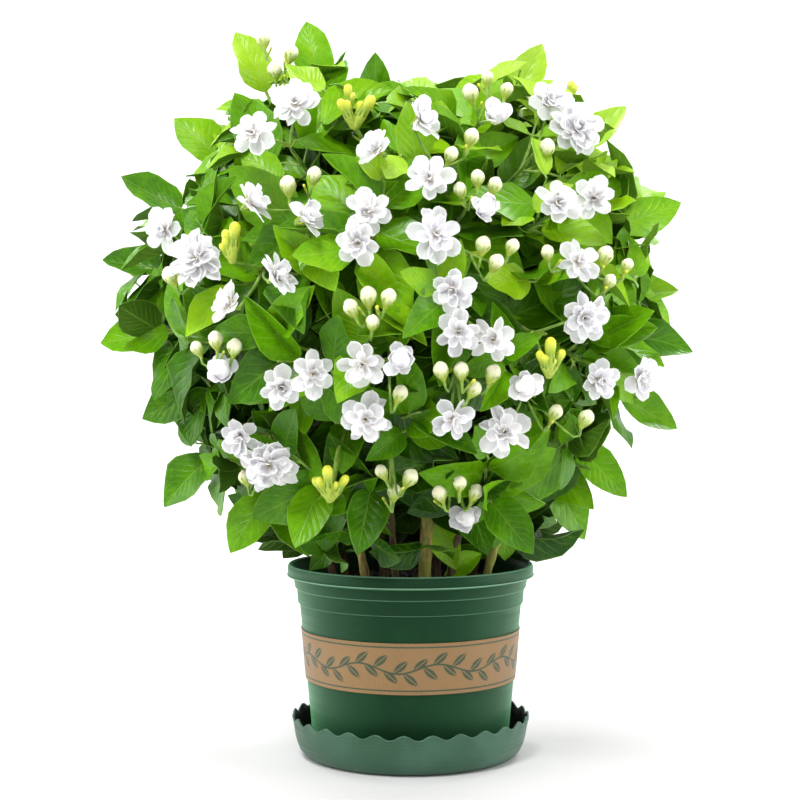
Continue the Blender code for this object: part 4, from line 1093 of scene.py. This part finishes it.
def makeBudTemplate(kind, skin):
    form = budForms[kind]
    body = lathe(kind + "Body", [(radius, height) for height, radius in form["profile"]], budForms["steps"])
    for vertex in body.data.vertices:
        angle = math.atan2(vertex.co.y, vertex.co.x)
        ridge = abs(math.sin(budForms["windings"] * 0.5 * (angle - budForms["twist"] * vertex.co.z)))
        dent = 1 - form["fold"] * (1 - ridge) ** 2 * 2
        vertex.co.x *= dent
        vertex.co.y *= dent
    if not body.data.uv_layers:
        body.data.uv_layers.new(name="UVMap")
    layer = body.data.uv_layers[0]
    layer.name = "UVMap"
    for loop in body.data.loops:
        place = body.data.vertices[loop.vertex_index].co
        layer.uv[loop.index].vector = (math.atan2(place.y, place.x) / (2 * math.pi) + 0.5, place.z)
    body.data.materials.append(skin)
    parts = [giveTone(body)]
    if form["sepals"]:
        cup, seat, spread = form["cup"], form["seat"], form["spread"]
        foot = lathe(kind + "Cup", [(cup * 0.5, -0.06), (cup * 0.85, 0.0), (cup, seat * 0.6), (cup + 0.02, seat),
                                    (cup - 0.01, seat + 0.03)], budForms["steps"])
        foot.data.materials.append(sepalSkin)
        parts.append(giveTone(foot))
        for number in range(form["sepals"]):
            angle = 2 * math.pi * number / form["sepals"]
            outward = Vector((math.cos(angle), math.sin(angle), 0.0))
            along = (up + outward * spread).normalized()
            inner = (outward * -1 + up * spread).normalized()
            root = outward * cup + up * (seat * 0.8)
            parts.append(placedCopy(sepalBlade, root, along, inner, form["sepalLength"]))
    bud = joined(kind + "Template", parts)
    bud.data.transform(Matrix.Rotation(math.radians(-90), 4, "X"))      # along +Y, as the leaves and petals are
    smoothShade(bud, 50)
    return bud


def makeThroatTemplate():
    throat = added("throatTemplate", bpy.ops.mesh.primitive_cone_add, vertices=8, radius1=1.0, radius2=0.35,
                   depth=0.5)
    throat.data.transform(Matrix.Rotation(math.radians(-90), 4, "X"))
    # the flower's throat: matt olive-brown, in shade
    throat.data.materials.append(mottled("darkThroat", "#8f8a5a", 0.7, 900, (0.35, 0.65), "#6d6a3c", "#b4a878"))
    return giveTone(throat)


leafUpper = waxyLeaf("waxyLeafUpper", ((0.0, "#1e4704"), (0.28, "#417705"), (0.52, "#67a207"), (0.76, "#8ebc12"),
                                       (1.0, "#a8ce44")), 0.29, 0.17, 0.26)
leafUnder = waxyLeaf("dullLeafUnder", ((0.0, "#2f510c"), (0.4, "#4e7718"), (0.75, "#6d9525"), (1.0, "#84a834")),
                     0.65, 0.30, 0.3)
petalSkin = softPetal()
budSkin = creamBud("creamBud", "#ebeac8", "#a6bb58", (0.20, 0.74))
youngBudSkin = creamBud("youngBud", "#d4d83a", "#6a9414", (0.42, 0.95))
# sepals and bracts: young and yellow-green, faintly mottled
sepalSkin = mottled("greenSepal", "#9aae34", 0.5, 600, (0.35, 0.65), "#8fa52c", "#a5b73d")
# soft shoots and flower stalks: yellow-green, faintly downy, slightly shiny
greenStalk = mottled("greenShoot", "#6d9636", 0.5, 160, (0.3, 0.7), "#5c8420", "#8cb03a", Sheen_Weight=0.15)

leafShapes = {kind: [makeLeafTemplate(f"{kind}Leaf{number}", leafForm[kind + "Rows"], habit)
                     for number, habit in enumerate(leafForm[kind])] for kind in ("large", "small")}
petals = {kind: makePetalTemplate(kind + "Petal", habit) for kind, habit in petalForm["kinds"].items()}
sepalBlade = makeSepalTemplate()
buds = {kind: makeBudTemplate(kind, skin) for kind, skin in
        (("bud", budSkin), ("green", youngBudSkin), ("heart", petalSkin))}
throat = makeThroatTemplate()
templates = [*leafShapes["large"], *leafShapes["small"], *petals.values(), *buds.values(), sepalBlade, throat]
print("leaf, petal and bud shapes ready")


# Stems: a curve drawn through the points, with its own thickness all along, then made a mesh

def smoothPath(path, spacing):
    points = [path[0] * 2 - path[1]] + list(path) + [path[-1] * 2 - path[-2]]
    smooth = []
    for before, here, there, after in zip(points, points[1:], points[2:], points[3:]):
        steps = max(2, round((there - here).length / spacing))
        for step in range(steps):
            t = step / steps
            smooth.append(0.5 * (here * 2 + (there - before) * t
                                 + (before * 2 - here * 5 + there * 4 - after) * t ** 2
                                 + (here * 3 - before - there * 3 + after) * t ** 3))
    smooth.append(path[-1].copy())
    return smooth


def tapered(points, first, last):
    return [first + (last - first) * index / (len(points) - 1) for index in range(len(points))]


def growTubes(name, tubes, sides, material):
    data = bpy.data.curves.new(name, "CURVE")
    data.dimensions = "3D"
    data.bevel_depth = 1.0
    data.bevel_resolution = (sides - 4) // 2
    data.use_fill_caps = True
    for path, radii in tubes:
        spline = data.splines.new("POLY")
        spline.points.add(len(path) - 1)
        for point, place, radius in zip(spline.points, path, radii):
            point.co = (*place, 1.0)
            point.radius = radius
    pick(linked(name, data))
    bpy.ops.object.convert(target="MESH")
    thing = bpy.context.object
    thing.data.materials.clear()
    thing.data.materials.append(material)
    cleanMesh(thing, 0.000005)
    smoothShade(thing, 60)
    return thing


# Which leaves may stay: none in front of a flower, past the bush's outline, or in the pot

# how far the bush reaches, in millimetres, every 7.5 degrees round the front view from the right
crownReach = (181, 178, 199, 187, 168, 193, 183, 183, 192, 167, 145, 146, 146, 140, 172, 194, 202, 199, 174, 174,
              154, 170, 199, 204, 198, 206, 176, 184, 183, 188, 212, 205, 206, 193, 188, 183, 181, 183, 188, 196,
              185, 197, 196, 190, 187, 210, 203, 200)


def outlineShareOf(point):
    # how far out a point is, as seen by the camera: 1 on the bush's outline
    sight = point - eye
    onPlane = eye + sight * (-eye.y / sight.y)
    across = onPlane.x - crownCentre.x
    rise = onPlane.z - crownCentre.z
    turn = math.degrees(math.atan2(rise, across)) % 360 / 7.5
    low = int(turn) % 48
    reach = crownReach[low] + (crownReach[(low + 1) % 48] - crownReach[low]) * (turn - int(turn))
    return math.hypot(across, rise) * 1000 / reach


flowerSpots = []      # each flower's middle and how far round it no leaf may hide it
for grown, _, _ in sprays:
    for kind, path, facing, spot, turn in grown:
        if kind in budLength:
            flowerSpots.append((spot + facing * (0.5 * budLength[kind]), 0.0065))
        else:
            flowerSpots.append((spot, bloomRadius[kind] * 0.92))


def hidesFlower(points):
    for spot, radius in flowerSpots:
        views = [crownNormal(spot)]
        if spot.y < 0.04:
            views.append((eye - spot).normalized())
        for point in points:
            offset = point - spot
            if offset.length > 0.09:
                continue
            for view in views:
                ahead = offset.dot(view)
                if ahead > -0.004 and (offset - view * ahead).length < radius:
                    return True
    return False


def inPot(point):
    # in the pot, or in front of its rim
    over = math.hypot(point.x, point.y) < 0.088
    return point.z < 0.1225 or (point.z < 0.134 and over and point.y < 0.02)


def bladePoints(root, along, face, length):
    tip = root + along * length - face * (0.10 * length)
    middle = root + along * (0.45 * length)
    half = along.cross(face) * (0.5 * bush["leafWidthShare"] * length)
    return [tip, middle, middle + half, middle - half, root.lerp(tip, 0.75), root.lerp(tip, 0.2)]


# how a leaf's tone grows with its depth in the bush (painted shade deep inside) and its height (painted light from
# above), lighter high up on the right and darker low on the left
tones = dict(deepest=0.06, depth=0.36, rise=0.27, east=0.22, west=0.11, side=0.12, chance=(-0.18, 0.20), calm=0.4)


def leafTone(point, draw, young=0.0):
    depth = graded(crownDepth(point), 0.50, 0.45)
    rise = graded(point.z, 0.20, 0.28)
    east = graded(point.x, -0.02, 0.08)
    atSide = graded(abs(point.x), 0.12, 0.05)      # no palest leaf where the side light is near
    # a negative young darkens the low leaves as painted shade
    fresh = young * (0.25 + 0.75 * rise) if young > 0 else young
    patch = tones["east"] * east * rise - tones["west"] * (1 - rise) * (1 - 0.4 * east)
    # the depth and rise terms are painted shade inside the bush and painted light on top
    tone = tones["deepest"] + tones["depth"] * depth ** 1.4 + tones["rise"] * rise + patch + fresh
    tone += draw.uniform(*tones["chance"]) - tones["side"] * atSide
    return min(max(tone, 0.0), 1.0 - tones["calm"] * atSide)


# Leafy stems: canes, shoots with the model's own leaves, and more leaves on twigs among them

leafing = dict(
    twigs=270,
    lowTwigs=170,
    reach=(0.66, 0.95),
    twigRadius=0.0011,
    longest=0.095,
    shortest=0.016,
    pairGap=(0.015, 0.021),
    leafSize=(0.70, 1.02),
    endLeafSize=(0.50, 0.78),
    shootPairs=(0.30, 0.46, 0.62, 0.78),
    outline=0.985,
    lowOutline=1.12,
    young=0.18,      # how much lighter the twigs' end leaves are, and how much darker the low ones, as painted shade
    shaded=-0.25,
    turns=(0.0, 0.5, -0.5, 1.0, -1.0),
    goldenTurn=math.radians(137.508),
)
stems = [dict(cane=[], green=[], petioles=[], blades=[], anchors=[]) for _ in canes]


def addBlade(stem, stemPoints, root, along, face, length, tone, draw, shapes, widen=1.0):
    side = along.cross(face).normalized()
    face = side.cross(along).normalized()
    near = min(stemPoints, key=lambda point: (point - root).length)
    inner = root + along * (0.05 * length) - face * (0.004 * length)
    stem["petioles"].append(([near, near.lerp(root, 0.6) + along * 0.001, inner], [0.0010, 0.00085, 0.0005]))
    shape = draw.choice(shapes)
    stem["blades"].append(placedCopy(shape, root, along, face, length, tone, widen * draw.uniform(0.93, 1.08)))


def anchorsOn(points, cane, first=0, low=0.0, high=1.0):
    # where twigs may start: place, heading, depth in the crown, and cane
    return [(point, points[index + 1] - point, crownDepth(point), cane)
            for index, point in enumerate(points[:-1]) if index >= first and low < point.z < high]


def growMainStems():
    caneDraw = dice("cane", 0)
    for number, (path, (_, _, radius)) in enumerate(zip(canePaths, canes)):
        points = smoothPath(path, 0.007)
        radii = tapered(points, radius, radius * 0.62)
        for index in range(3 + number % 3, len(radii) - 1, 4):
            radii[index] *= caneDraw.uniform(1.14, 1.30)      # a node, where old leaves fell
        stems[number]["cane"].append((points, radii))
        stems[number]["anchors"] += anchorsOn(points, number, low=0.19)
    for shoot in shoots:
        stem = stems[shoot["cane"]]
        points = smoothPath(shoot["path"], 0.008)
        radii = tapered(points, bush["shootRadius"] * 1.15, bush["shootRadius"] * 0.72)
        for index in range(2, len(radii) - 1, 3):
            radii[index] *= 1.15
        stem["green"].append((points, radii))
        stem["anchors"] += anchorsOn(points, shoot["cane"], first=2)
        shoot["points"] = points
        draw = dice("blade", shoot["index"])
        for root, along, face, length in shoot["blades"]:
            tone = leafTone(root + along * (0.5 * length), draw)
            addBlade(stem, points, root, along, face, length, tone, draw, leafShapes["large"])


def tryLeaf(stem, points, place, heading, sideWay, size, draw, young, glance, limit):
    # a leaf where it hides no flower and stays within the outline, turned a little if need be
    out = crownNormal(place)
    along = turnedOut(sideWay * 0.85 + heading.normalized() * 0.45 + shaken(draw, 0.3), out)
    face = (leafFace(out, 0.75, glance, draw) + shaken(draw, 0.3)).normalized()
    length = bush["leafLength"] * size
    root = place + along * 0.0025
    for turn in leafing["turns"]:
        tried = Matrix.Rotation(turn, 3, heading.normalized()) @ along
        side = tried.cross(face)
        if side.length < 0.2:
            continue
        squared = side.normalized().cross(tried)
        spots = bladePoints(root, tried, squared, length)
        if any(inPot(spot) or outlineShareOf(spot) > limit for spot in spots):
            continue
        if crownDepth(spots[0]) > limit + 0.035 or hidesFlower(spots):
            continue
        tone = leafTone(spots[1], draw, young)
        addBlade(stem, points, root, tried, squared, length, tone, draw, leafShapes["small"])
        return True
    return False


def addTwig(stem, path):
    points = smoothPath(path, 0.006)
    stem["green"].append((points, tapered(points, leafing["twigRadius"], leafing["twigRadius"] * 0.6)))
    return points


def growTwig(number, target, anchors, draw, young, limit):
    depth = crownDepth(target)

    def cost(anchor):
        drop = max(0.0, anchor[0].z - target.z - 0.01)
        return (anchor[0] - target).length + 0.7 * drop + 0.25 * max(0.0, anchor[2] - depth)

    start, heading, _, cane = min(anchors, key=cost)
    reach = target - start
    if reach.length > leafing["longest"]:
        target = start + reach * (leafing["longest"] / reach.length)
        reach = target - start
    if reach.length < leafing["shortest"] or inPot(target):
        return 0
    out = (crownNormal(target) + up * 0.4).normalized()
    leave = (heading.normalized() * 0.5 + reach.normalized() * 0.7) * (0.35 * reach.length)
    stem = stems[cane]
    points = addTwig(stem, curvePoints(start, leave, out * (0.3 * reach.length), target, 3))
    glance = out * 0.2 + (Vector((0.0, -0.35, 0.1)) if target.y < 0.02 else nowhere)
    total = pathLength(points)
    fromTip = 0.001
    pair = 0
    count = 0
    while fromTip < total - 0.008:
        place, run = alongPath(points, total - fromTip)
        along = points[min(run + 1, len(points) - 1)] - points[run]
        sideWay = around(0.6 * number + pair * math.pi / 2, *frameRound(along))
        size = draw.uniform(*leafing["endLeafSize" if pair == 0 else "leafSize"])
        fresh = young if pair == 0 else min(young, 0.0)
        for hand in (1, -1):
            count += tryLeaf(stem, points, place, along, sideWay * hand, size, draw, fresh, glance, limit)
        fromTip += draw.uniform(*leafing["pairGap"])
        pair += 1
    return count


def growTwigs():
    anchors = [anchor for stem in stems for anchor in stem["anchors"]]
    count = 0
    for number in range(leafing["twigs"]):
        draw = dice("twig", number)
        turn = leafing["goldenTurn"] * number + draw.uniform(-0.15, 0.15)
        rise = 0.97 - 1.83 * (number + 0.5) / leafing["twigs"]
        flat = math.sqrt(1 - rise * rise)
        normal = Vector((flat * math.cos(turn), flat * math.sin(turn), rise))
        target = crownPoint(normal, draw.uniform(*leafing["reach"]))
        while outlineShareOf(target) > 0.95:
            target = crownCentre.lerp(target, 0.95)
        count += growTwig(number, target, anchors, draw, leafing["young"], leafing["outline"])
    return count


def growLowTwigs():
    # short leafy side shoots low on the canes, fewer in front, where the canes show
    anchors = []
    for number, path in enumerate(canePaths):
        anchors += anchorsOn(smoothPath(path, 0.007), number, low=0.128, high=0.205)
    count = 0
    for number in range(leafing["lowTwigs"]):
        draw = dice("low", number)
        turn = leafing["goldenTurn"] * number
        out = 0.022 + 0.066 * math.sqrt(draw.random())
        target = Vector((out * math.cos(turn), out * math.sin(turn), draw.uniform(0.148, 0.205)))
        if target.y < -0.020 and number % 3:
            continue      # the canes show here
        if number % 4 == 0:
            target.y = abs(target.y)
            target.z -= 0.012
        count += growTwig(number, target, anchors, draw, leafing["shaded"], leafing["lowOutline"])
    return count


# single leaves that hang over the pot's mouth, in front of the canes and behind them: root, tip, tone and width;
# the dark tones of those behind the canes are painted shade
mouthLeaves = (
    ((0.0175, -0.045, 0.164), (0.0295, -0.047, 0.131), 0.62, 1.00),
    ((0.0250, -0.038, 0.128), (0.0478, -0.035, 0.141), 0.55, 1.10),
    ((0.0650, -0.022, 0.159), (0.0640, -0.024, 0.135), 0.50, 1.30),
    ((-0.0500, -0.022, 0.147), (-0.0700, -0.022, 0.129), 0.22, 1.00),
    ((-0.0400, 0.078, 0.160), (-0.0460, 0.102, 0.121), 0.12, 1.20),
    ((0.0100, 0.056, 0.158), (-0.0220, 0.060, 0.140), 0.12, 1.00),
    ((0.0400, 0.050, 0.148), (0.0680, 0.040, 0.138), 0.12, 1.00),
)


def growMouthLeaves():
    places = [(point, cane) for cane, path in enumerate(canePaths) for point in smoothPath(path, 0.007)]
    for number, (root, tip, tone, widen) in enumerate(mouthLeaves):
        root, tip = Vector(root), Vector(tip)
        draw = dice("mouth", number)
        start, cane = min(places, key=lambda place: (place[0] - root).length)
        along = (tip - root).normalized()
        points = addTwig(stems[cane], [start, start.lerp(root, 0.5) + up * 0.004, root - along * 0.0025])
        face = (eye - root).normalized() + up * 0.35 + shaken(draw, 0.25)
        length = (tip - root).length
        addBlade(stems[cane], points, root, along, face, length, tone, draw, leafShapes["small"], widen)


def growShootLeaves():
    count = 0
    for shoot in shoots:
        points = shoot["points"]
        draw = dice("more", shoot["index"])
        for pair, share in enumerate(leafing["shootPairs"]):
            place, run = alongPath(points, share * pathLength(points))
            if crownDepth(place) < 0.40:
                continue
            along = points[run + 1] - points[run]
            sideWay = around(0.7 * shoot["index"] + pair * math.pi / 2, *frameRound(along))
            if any((blade[0] - place).length < 0.006 for blade in shoot["blades"]):
                continue
            for hand in (1, -1):
                count += tryLeaf(stems[shoot["cane"]], points, place, along, sideWay * hand,
                                 draw.uniform(*leafing["leafSize"]), draw, 0.0, nowhere, leafing["outline"])
    return count


barks = dict(
    young=("youngCaneBark", "#86903a",
           ((0.30, "#5f5222"), (0.46, "#958744"), (0.60, "#b3a45e"), (0.75, "#d2c690"))),
    # the old bark's dark brown is partly painted shade on the canes that stand in shade
    old=("oldAndShadedCaneBark", "#4c4a24",
         ((0.30, "#2c1f12"), (0.46, "#4d3a22"), (0.60, "#6b5534"), (0.75, "#8d7752"))),
)


def finishStems():
    young, old = caneBark(*barks["young"]), caneBark(*barks["old"])
    for number, stem in enumerate(stems):
        name = f"leafyStem{number + 1:02d}"
        tubes = [growTubes(name + "Cane", stem["cane"], 10, young if number in youngCanes else old),
                 growTubes(name + "Shoots", stem["green"], 6, greenStalk),
                 growTubes(name + "Petioles", stem["petioles"], 4, greenStalk)]
        standFor(joined(name, tubes + stem["blades"]), "jasmine_leaf_and_cane", f"leafy_stem_{number + 1:02d}")


growMainStems()
twigLeaves = growTwigs()
lowLeaves = growLowTwigs()
shootLeaves = growShootLeaves()
growMouthLeaves()
print("leaves on twigs", twigLeaves, "low down", lowLeaves, "and on shoots", shootLeaves)
finishStems()
print("leafy stems done")


# Flower sprays: a green stalk that forks to its blooms and buds

bloomForm = dict(
    # each whorl as its count, petal length, rise in degrees, height of its foot, and petal kinds
    pompon=((10, 0.98, 0, 0.00, ("round", "narrow", "folded")), (10, 0.84, 16, 0.05, ("wide", "round", "narrow")),
            (9, 0.66, 30, 0.10, ("round", "narrow")), (7, 0.46, 46, 0.14, ("round", "cupped"))),
    double=((7, 0.97, 0, 0.00, ("wide", "wide", "round", "folded")),
            (6, 0.77, 16, 0.05, ("wide", "round", "round")), (5, 0.54, 34, 0.10, ("round", "cupped")),
            (3, 0.34, 58, 0.13, ("cupped",))),
    star=((7, 0.97, 0, 0.00, ("wide", "round", "round", "narrow")), (5, 0.66, 24, 0.05, ("round", "cupped")),
          (4, 0.38, 52, 0.09, ("cupped",))),
    loose=((6, 0.98, 8, 0.00, ("wide", "wide", "round")), (6, 0.74, 26, 0.04, ("round", "cupped")),
           (4, 0.44, 54, 0.08, ("cupped",))),
    rose=((6, 0.94, 34, 0.00, ("wide", "cupped")), (5, 0.84, 50, 0.05, ("cupped",)),
          (4, 0.70, 66, 0.10, ("cupped",))),
    side=((8, 0.97, 12, 0.00, ("wide", "round", "narrow")), (6, 0.74, 34, 0.05, ("round", "cupped"))),
    heartSize=dict(rose=0.98, side=0.56),
    lean=0.16,            # how far a bloom, and then each petal, is off its place
    whorlTurn=0.15,
    petalTurn=0.19,
    petalTwist=0.45,
    petalTilt=13,
    petalSize=(0.82, 1.07),
    shade=0.55,
    petalShade=0.35,
    footRing=0.05,
    tubeFoot=0.0010,
    tubeMouth=0.30,       # of the bloom's radius
    calyx=(0.0017, 0.0016),
    throat=0.0011,
    sepals=7,
    sepalLength=0.0075,
    sepalSpread=0.75,
    stalk=0.0012,
    pedicel=0.0008,
    bractLength=0.008,
    budSize=0.0128,
    knee=0.007,           # how far below a bud its stalk bends up
    littleBud=0.0062,
    fingerLength=0.020,
    fingerSpread=(0.28, 0.50),
)


def addWhorls(kind, openTo, spot, turn, shade, draw, things):
    form = bloomForm
    radius = bloomRadius[kind]
    for level, (count, length, rise, height, styles) in enumerate(form[kind]):
        start = turn + level * math.pi / count + draw.uniform(-form["whorlTurn"], form["whorlTurn"])
        for number in range(count):
            angle = start + 2 * math.pi * number / count + draw.uniform(-form["petalTurn"], form["petalTurn"])
            outward = around(angle, *frameRound(openTo))
            tilt = math.radians(rise + draw.uniform(-form["petalTilt"], form["petalTilt"]))
            along = around(tilt, outward, openTo)
            inner = openTo * math.cos(tilt) - outward * math.sin(tilt)
            twist = Matrix.Rotation(draw.uniform(-form["petalTwist"], form["petalTwist"]), 3, along)
            root = spot + openTo * (height * radius - 0.0004) + outward * (form["footRing"] * radius)
            size = radius * length * draw.uniform(*form["petalSize"])
            petal = petals[draw.choice(styles)]
            tone = min(1.0, shade + draw.uniform(0.0, form["petalShade"]))
            things.append(placedCopy(petal, root, along, twist @ inner, size, tone))


def addBloom(kind, path, facing, spot, turn, draw, things, greenTubes, paleTubes):
    radius = bloomRadius[kind]
    calyx = path[-1]
    shade = draw.uniform(0.0, bloomForm["shade"])
    openTo = facing + shaken(draw, bloomForm["lean"])
    if kind == "rose" and spot.y < 0.04:
        openTo += (eye - spot).normalized() * 0.8 + up * 0.6      # half-open blooms show their hearts
    openTo.normalize()
    addWhorls(kind, openTo, spot, turn, shade, draw, things)
    side = frameRound(openTo)[0]
    if kind in bloomForm["heartSize"]:
        things.append(placedCopy(buds["heart"], spot, openTo, side, bloomForm["heartSize"][kind] * radius, shade))
    else:
        things.append(placedCopy(throat, spot + openTo * 0.0012, openTo, side, bloomForm["throat"]))
    paleTubes.append(([calyx - facing * 0.0006, calyx.lerp(spot, 0.5), spot + facing * 0.0008],
                      [bloomForm["tubeFoot"], bloomForm["tubeFoot"] * 1.25, bloomForm["tubeMouth"] * radius]))
    greenTubes.append(([calyx - facing * 0.0014, calyx, calyx + facing * 0.0022],
                       [bloomForm["pedicel"], *bloomForm["calyx"]]))
    spread = bloomForm["sepalSpread"]
    for number in range(bloomForm["sepals"]):
        outward = around(turn + 2 * math.pi * number / bloomForm["sepals"], *frameRound(facing))
        along = (facing + outward * spread).normalized()
        inner = (facing * spread - outward).normalized()
        root = calyx + outward * 0.0014 + facing * 0.0014
        length = bloomForm["sepalLength"] * draw.uniform(0.8, 1.1)
        things.append(placedCopy(sepalBlade, root, along, inner, length))


def addFingers(path, facing, spot, out, fingers, draw, things):
    # young buds stand close together, like fingers on one foot, with a smaller one beside each
    long = bloomForm["fingerLength"]
    top = spot + facing * budLength["green"]
    foot = sum(fingers, nowhere) / len(fingers) - up * long - out * 0.003
    if (top - foot).length > 1.3 * long:
        foot = top - (facing + up * 1.5).normalized() * long
    facing = (top - foot).normalized()
    spot = foot + facing * 0.001
    length = (top - spot).length
    things.append(placedCopy(buds["green"], spot, facing, frameRound(facing)[0], length))
    beside = Matrix.Rotation(draw.choice((-1, 1)) * draw.uniform(*bloomForm["fingerSpread"]), 3, out) @ facing
    things.append(placedCopy(buds["green"], spot + out * 0.001, beside, frameRound(beside)[0],
                             length * draw.uniform(0.62, 0.86)))
    return path[:-1] + [spot]


def addBud(path, facing, spot, out, draw, things, greenTubes):
    # buds stand up on their stalks, leaning away from each other, some with a little bud beside them
    middle = spot + facing * (0.5 * budLength["bud"])
    apart = middle - path[-2]
    apart = (apart - out * apart.dot(out)).normalized()
    size = bloomForm["budSize"] * draw.uniform(0.80, 1.06)
    facing = (up + apart * 0.45 + out * 0.25).normalized()
    spot = middle - facing * (0.55 * size)
    knee = spot - facing * bloomForm["knee"] - apart * 0.001
    side = frameRound(facing)[0]
    turned = Matrix.Rotation(draw.uniform(0, 6.28), 3, facing) @ side
    things.append(placedCopy(buds["bud"], spot, facing, turned, size))
    if draw.random() < 0.55:
        lean = (facing + side * draw.choice((-0.8, 0.8)) + out * 0.2).normalized()
        little = knee + lean * 0.005
        greenTubes.append(([knee, knee.lerp(little, 0.5) + facing * 0.0004, little], [bloomForm["pedicel"]] * 3))
        things.append(placedCopy(buds["green"], little, lean, side.cross(lean).normalized(),
                                 bloomForm["littleBud"] * draw.uniform(0.8, 1.3)))
    return path[:-1] + [knee, spot]


def growSprays():
    for number, (grown, root, out) in enumerate(sprays):
        name = f"flowerSpray{number + 1:02d}"
        draw = dice("bloom", number)
        greenTubes, paleTubes, things = [], [], []
        fingers = [spot + facing * budLength[kind] for kind, _, facing, spot, _ in grown if kind == "green"]
        for kind, path, facing, spot, turn in grown:
            if kind == "green":
                path = addFingers(path, facing, spot, out, fingers, draw, things)
            elif kind == "bud":
                path = addBud(path, facing, spot, out, draw, things, greenTubes)
            points = smoothPath(path, 0.004)
            first = bloomForm["stalk"] if path[0] == root else bloomForm["pedicel"]
            greenTubes.append((points, tapered(points, first, bloomForm["pedicel"])[:-1] + [bloomForm["stalk"]]))
            if kind not in budLength:
                addBloom(kind, path, facing, spot, turn, draw, things, greenTubes, paleTubes)
        side = frameRound(out)[0]
        for hand in (-1, 1):
            along = (side * hand + out * 0.6).normalized()
            inner = (out - side * hand * 0.6).normalized()
            bract = placedCopy(sepalBlade, grown[0][1][1], along, inner, bloomForm["bractLength"], widen=1.6)
            things.append(bract)
        tubes = [growTubes(name + "Stalks", greenTubes, 6, greenStalk)]
        if paleTubes:
            tubes.append(growTubes(name + "Tubes", paleTubes, 8, petalSkin))
        standFor(joined(name, tubes + things), "jasmine_petal", f"flower_spray_{number + 1:02d}")


growSprays()
for template in templates:
    bpy.data.objects.remove(template)
print("flower sprays done")

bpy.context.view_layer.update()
faces = sum(len(thing.data.polygons) for thing in bpy.context.scene.objects if thing.type == "MESH")
print("faces in the scene", faces)
